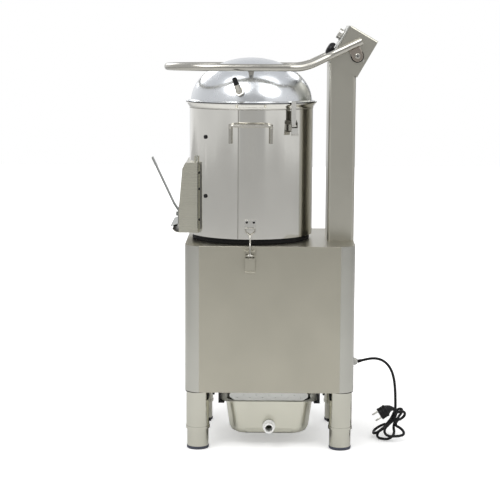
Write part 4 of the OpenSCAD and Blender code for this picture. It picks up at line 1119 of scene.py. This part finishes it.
def lead_points():
    """The whole lead as guide points: out of the gland, through the hank and up to the plug."""
    gland = Vector((MIDDLE_X, 0, GLAND_Z))
    points = [gland + Vector(p) for p in LEAD_ROUTE]
    rows = [sizes().cord_width * 1.05 * k for k in (-1, 0, 1)]
    for k, loop in enumerate(FLOOR_LOOPS):
        level = TIE_PLACE + TIE_BACK * rows[k] - TIE_AXIS * 0.001
        points.append(level - TIE_SIDE * NECK_HALF)
        points += hank_loop(-1, *loop, (rows[k], rows[k]))
        points.append(level + TIE_SIDE * NECK_HALF)
        if k < len(UPPER_LOOPS):
            points += hank_loop(1, *UPPER_LOOPS[k], (rows[k], rows[k + 1]))
    points[-1] = points[-1] + TIE_AXIS * 0.008
    points += [Vector((MIDDLE_X, 0, 0)) + Vector(p) for p in TAIL_ROUTE]
    return points


class PEELER_OT_lead(PeelerOperator):
    """Free mains lead with its gland boot, tied hank, tie and plug"""

    bl_idname = "peeler.lead"
    bl_label = "Mains lead"

    def build(self):
        s = sizes()
        path = smooth_path(lead_points(), 0.0028)
        radius = s.cord_width / 2
        mesh = swept("mains_lead", path, [radius] * len(path), 14)
        lead = place_object("mains_lead", mesh, "cord", nodes=("power_cord", "cord_hank"))
        dress("cable_gland", "gland", 0.0005)
        boot = self.boot(path)
        tie = self.tie()
        plug = self.plug(path)

    def boot(self, path):
        """Tapered ribbed boot where the lead leaves the gland."""
        s = sizes()
        run, line, radii = 0.0, [], []
        for a, b in zip(path, path[1:]):
            share = run / s.boot_length
            if share > 1:
                break
            rib = 0.0003 if int(share * 9) % 2 else 0.0
            line.append(a)
            radii.append(s.cord_width / 2 + 0.0010 * (1 - share) + 0.0004 + rib)
            run += (b - a).length
        line.append(line[-1] + (line[-1] - line[-2]) * 0.2)
        radii.append(s.cord_width / 2 + 0.0002)
        return place_object("gland_boot", swept("gland_boot", line, radii, 20), "cord")

    def tie(self):
        """Band round the middle of the hank."""
        s = sizes()
        deep = NECK_HALF + s.cord_width / 2 + 0.001
        high = s.cord_width * 1.55 + 0.001
        rings = []
        for a in round_turn(48):
            wide, tall = (math.copysign(abs(part) ** 0.6, part)
                          for part in (math.cos(a), math.sin(a)))
            centre = TIE_PLACE + TIE_SIDE * deep * wide + TIE_BACK * high * tall
            out = (TIE_SIDE * math.cos(a) + TIE_BACK * math.sin(a)).normalized()
            half = TIE_AXIS * s.tie_width / 2
            thick = out * 0.0012
            near, far = centre - half, centre + half
            rings.append([near, near + thick, far + thick, far])
        mesh = grid_mesh("lead_tie", rings, closed_rows=True)
        smooth_edges(mesh, 40)
        return place_object("lead_tie", mesh, "plastic")

    def plug(self, path):
        """Round moulded plug: body, ribbed tail bent towards the lead, and two pins."""
        def ahead(distance):
            return PLUG_PLACE + PLUG_AXIS * distance

        grip, neck = 0.020, -0.0012
        line = [ahead(0.022), ahead(0.0215), ahead(grip)]
        radii = [0.0155, 0.0170, 0.0175]
        for k in range(1, 9):
            t = k / 8
            line.append(ahead(grip * (1 - t)))
            radii.append(0.0175 - 0.0012 * (0.5 + 0.5 * math.cos(6 * math.pi * t)) * (t < 0.95))
        line.append(ahead(neck))
        radii.append(0.0160)
        end = path[-1]
        toward = (path[-2] - end).normalized()
        a, b, c, d = ahead(neck), ahead(-0.011), end - toward * 0.005, end + toward * 0.010
        for k in range(1, 25):
            t = k / 24
            line.append((1 - t) ** 3 * a + 3 * t * (1 - t) ** 2 * b
                        + 3 * t * t * (1 - t) * c + t**3 * d)
            rib = 0.0006 * (k % 3 == 0) * (k > 8)
            radii.append(0.0046 + 0.0088 * max(0.0, 1 - t * 1.55) + 0.0012 * (1 - t) + rib)
        mesh = swept("plug_body", line, radii, 32, Y_AXIS, 40)
        body = place_object("plug_body", mesh, "cord", nodes=("plug",))
        side = across(PLUG_AXIS.cross(Y_AXIS), PLUG_AXIS)
        pins = []
        for k, shift in enumerate((-0.0095, 0.0095)):
            pin = [ahead(0.0215 + d) + side * shift for d in (0, 0.006, 0.0175, 0.0188, 0.0195)]
            mesh = swept(f"plug_pin_{k}", pin, [0.0024, 0.0024, 0.0024, 0.0019, 0.0010], 18, Y_AXIS)
            pins.append(place_object(f"plug_pin_{k}", mesh, "plate"))
        return [body, *pins]


# ---- Stage ----

CAMERA_PLACE = Vector((0.002408, -4.13087, 1.11106))
CAMERA_DOWN = 0.1406
CAMERA_TURN = -0.009
CAMERA_ROLL = 0.0051
CAMERA_LENS = 107.0856
LAMPS = (
    ("key_lamp", (-1.3, -1.9, 3.3), 2.3, "key"),
    ("fill_lamp", (1.7, -2.0, 2.9), 2.1, "fill"),
    ("top_left_lamp", (-0.78, -0.5, 2.7), 1.2, "top"),
    ("top_right_lamp", (0.78, -0.5, 2.7), 1.2, "top"),
    ("back_left_lamp", (-1.5, 2.4, 2.3), 1.4, "back"),
    ("back_right_lamp", (1.7, 2.4, 2.3), 1.4, "back"),
)
LAMP_AIM = Vector((0.0, 0.0, 0.65))
FLOOR_REACH = 9.0
FLOOR_LEVEL = -0.0003
# How the floor's own light grows with the distance from the machine
FLOOR_FADE = {"From Min": 0.4, "From Max": 2.2, "To Min": 0.36, "To Max": 0.9}
# Colour over the studio's bands
STUDIO_CEILING = (0.66, 0.67, 0.69, 1)
# Grey bands of the studio round the horizon, as (turn from the front over the right, brightness)
STUDIO_BANDS = (
    (0.000, 0.46), (0.066, 0.46), (0.080, 0.80), (0.170, 0.80), (0.290, 0.70), (0.306, 0.06),
    (0.338, 0.06), (0.344, 1.20), (0.374, 1.20), (0.382, 0.05), (0.440, 0.08), (0.470, 0.80),
    (0.580, 0.95), (0.700, 0.72), (0.770, 0.70), (0.878, 0.72), (0.930, 0.80), (0.945, 0.46),
    (1.000, 0.46),
)


class PEELER_OT_stage(PeelerOperator):
    """Pale floor, soft lamps, white world and the camera"""

    bl_idname = "peeler.stage"
    bl_label = "Stage"

    def build(self):
        scene = bpy.context.scene
        scene.view_settings.view_transform = "Standard"
        self.floor()
        self.lamps()
        self.world()
        self.camera()

    def floor(self):
        """A wide pale floor that keeps the machine's shadow and fades into the white."""
        finish, tree, shader = new_finish("studio_floor", stage_settings().floor, 0, 0.6, 0.2)
        place = flow(tree, "ShaderNodeTexCoord", "Object")
        far = flow(tree, "ShaderNodeVectorMath", "Value", {0: place}, operation="LENGTH")
        fade = flow(tree, "ShaderNodeMapRange", "Result", {"Value": far, **FLOOR_FADE})
        seen = flow(tree, "ShaderNodeLightPath", "Is Camera Ray")
        lift = flow(tree, "ShaderNodeMath", "Value", {0: seen, 1: fade}, operation="MULTIPLY")
        glow = flow(tree, "ShaderNodeEmission", "Emission", {"Strength": lift})
        both = flow(tree, "ShaderNodeAddShader", "Shader", {0: shader.outputs["BSDF"], 1: glow})
        fill(tree.nodes["Material Output"], {"Surface": both})
        mesh = bpy.data.meshes.new("floor")
        sides = ((-1, -1), (1, -1), (1, 1), (-1, 1))
        corners = [(x * FLOOR_REACH, y * FLOOR_REACH, FLOOR_LEVEL) for x, y in sides]
        mesh.from_pydata(corners, [], [(0, 1, 2, 3)])
        mesh.materials.append(finish)
        floor = bpy.data.objects.new("floor", mesh)
        show(floor)

    def lamps(self):
        """Soft round lamps that point at the machine's middle."""
        for name, place, size, strength in LAMPS:
            light = bpy.data.lights.new(name, "AREA")
            light.shape = "DISK"
            light.size = size
            light.energy = getattr(stage_settings(), strength)
            lamp = bpy.data.objects.new(name, light)
            lamp.location = place
            lamp.rotation_euler = (LAMP_AIM - Vector(place)).to_track_quat("-Z", "Y").to_euler()
            show(lamp)

    def world(self):
        """White behind the machine, with soft grey studio bands in its reflections."""
        world = bpy.data.worlds.new("studio")
        bpy.context.scene.world = world
        world.use_nodes = True
        tree = world.node_tree
        tree.nodes.clear()

        def math_node(entries, operation):
            return flow(tree, "ShaderNodeMath", "Value", entries, operation=operation)

        seen = add(tree, "ShaderNodeLightPath").outputs
        place = flow(tree, "ShaderNodeTexCoord", "Generated")
        split = add(tree, "ShaderNodeSeparateXYZ", {"Vector": place}).outputs
        back = math_node({0: split["Y"], 1: -1}, "MULTIPLY")
        turn = math_node({0: split["X"], 1: back}, "ARCTAN2")
        whole = 2 * math.pi
        turn = math_node({0: turn, 1: whole, 2: 0}, "WRAP")
        share = flow(tree, "ShaderNodeMapRange", "Result", {"Value": turn, "From Max": whole})
        ramp = add(tree, "ShaderNodeValToRGB", {"Fac": share})
        stops = ramp.color_ramp.elements
        for stop, (where, level) in zip(stops, (STUDIO_BANDS[0], STUDIO_BANDS[-1])):
            stop.position = where
            stop.color = (level, level, level, 1)
        for where, level in STUDIO_BANDS[1:-1]:
            stops.new(where).color = (level, level * 1.005, level * 1.02, 1)
        height = {"Value": split["Z"], "From Min": 0.35, "From Max": 0.75}
        colour_mix = {"Factor": flow(tree, "ShaderNodeMapRange", "Result", height),
                      "A": ramp.outputs["Color"], "B": STUDIO_CEILING}
        above = flow(tree, "ShaderNodeMix", "Result", colour_mix, data_type="RGBA")
        mirror = math_node({0: seen["Is Glossy Ray"], 1: seen["Is Transmission Ray"]}, "MAXIMUM")
        skies = {"Strength": stage_settings().sky}, {"Color": above}, {"Color": (1, 1, 1, 1)}
        even, studio, white = (
            flow(tree, "ShaderNodeBackground", "Background", entries) for entries in skies
        )
        reflected = flow(tree, "ShaderNodeMixShader", "Shader", {"Fac": mirror, 1: even, 2: studio})
        shown = {"Fac": seen["Is Camera Ray"], 1: reflected, 2: white}
        shown = flow(tree, "ShaderNodeMixShader", "Shader", shown)
        add(tree, "ShaderNodeOutputWorld", {"Surface": shown})

    def camera(self):
        """The camera in front, a little above the lid."""
        lens = bpy.data.cameras.new("camera")
        lens.lens = CAMERA_LENS
        lens.sensor_width = 36
        lens.clip_end = 60
        camera = bpy.data.objects.new("camera", lens)
        camera.matrix_world = (
            Matrix.Translation(CAMERA_PLACE)
            @ Matrix.Rotation(-CAMERA_TURN, 4, "Z")
            @ Matrix.Rotation(math.pi / 2 - CAMERA_DOWN, 4, "X")
            @ Matrix.Rotation(CAMERA_ROLL, 4, "Z")
        )
        show(camera)
        bpy.context.scene.camera = camera


PIECES = (
    PEELER_OT_stage, PEELER_OT_lead, PEELER_OT_cabinet, PEELER_OT_feet, PEELER_OT_drum,
    PEELER_OT_abrasive, PEELER_OT_latches, PEELER_OT_outlet, PEELER_OT_lid, PEELER_OT_arm,
    PEELER_OT_column, PEELER_OT_controls, PEELER_OT_pan, PEELER_OT_drive,
)
GROUPS = (
    ("peeler_sizes", PeelerSizes), ("peeler_colours", PeelerColours), ("peeler_stage", PeelerStage),
)


class PEELER_PT_sidebar(bpy.types.Panel):
    """Lists the peeler's pieces and settings"""

    bl_idname = "PEELER_PT_sidebar"
    bl_label = "Potato peeler"
    bl_space_type = "VIEW_3D"
    bl_region_type = "UI"
    bl_category = "Peeler"

    def draw(self, context):
        for piece in PIECES:
            self.layout.operator(piece.bl_idname)
        for name, group in GROUPS:
            box = self.layout.box()
            for setting in group.__annotations__:
                box.prop(getattr(context.scene, name), setting)


def register():
    for name, group in GROUPS:
        bpy.utils.register_class(group)
        setattr(bpy.types.Scene, name, PointerProperty(type=group))
    for piece in PIECES:
        bpy.utils.register_class(piece)
    bpy.utils.register_class(PEELER_PT_sidebar)


def unregister():
    bpy.utils.unregister_class(PEELER_PT_sidebar)
    for piece in reversed(PIECES):
        bpy.utils.unregister_class(piece)
    for name, group in reversed(GROUPS):
        delattr(bpy.types.Scene, name)
        bpy.utils.unregister_class(group)


def main():
    """Builds the whole machine."""
    register()
    make_finishes()
    ring_tree()
    grain_tree()
    for piece in PIECES:
        group, action = piece.bl_idname.split(".")
        getattr(getattr(bpy.ops, group), action)()


if __name__ == "__main__":
    main()
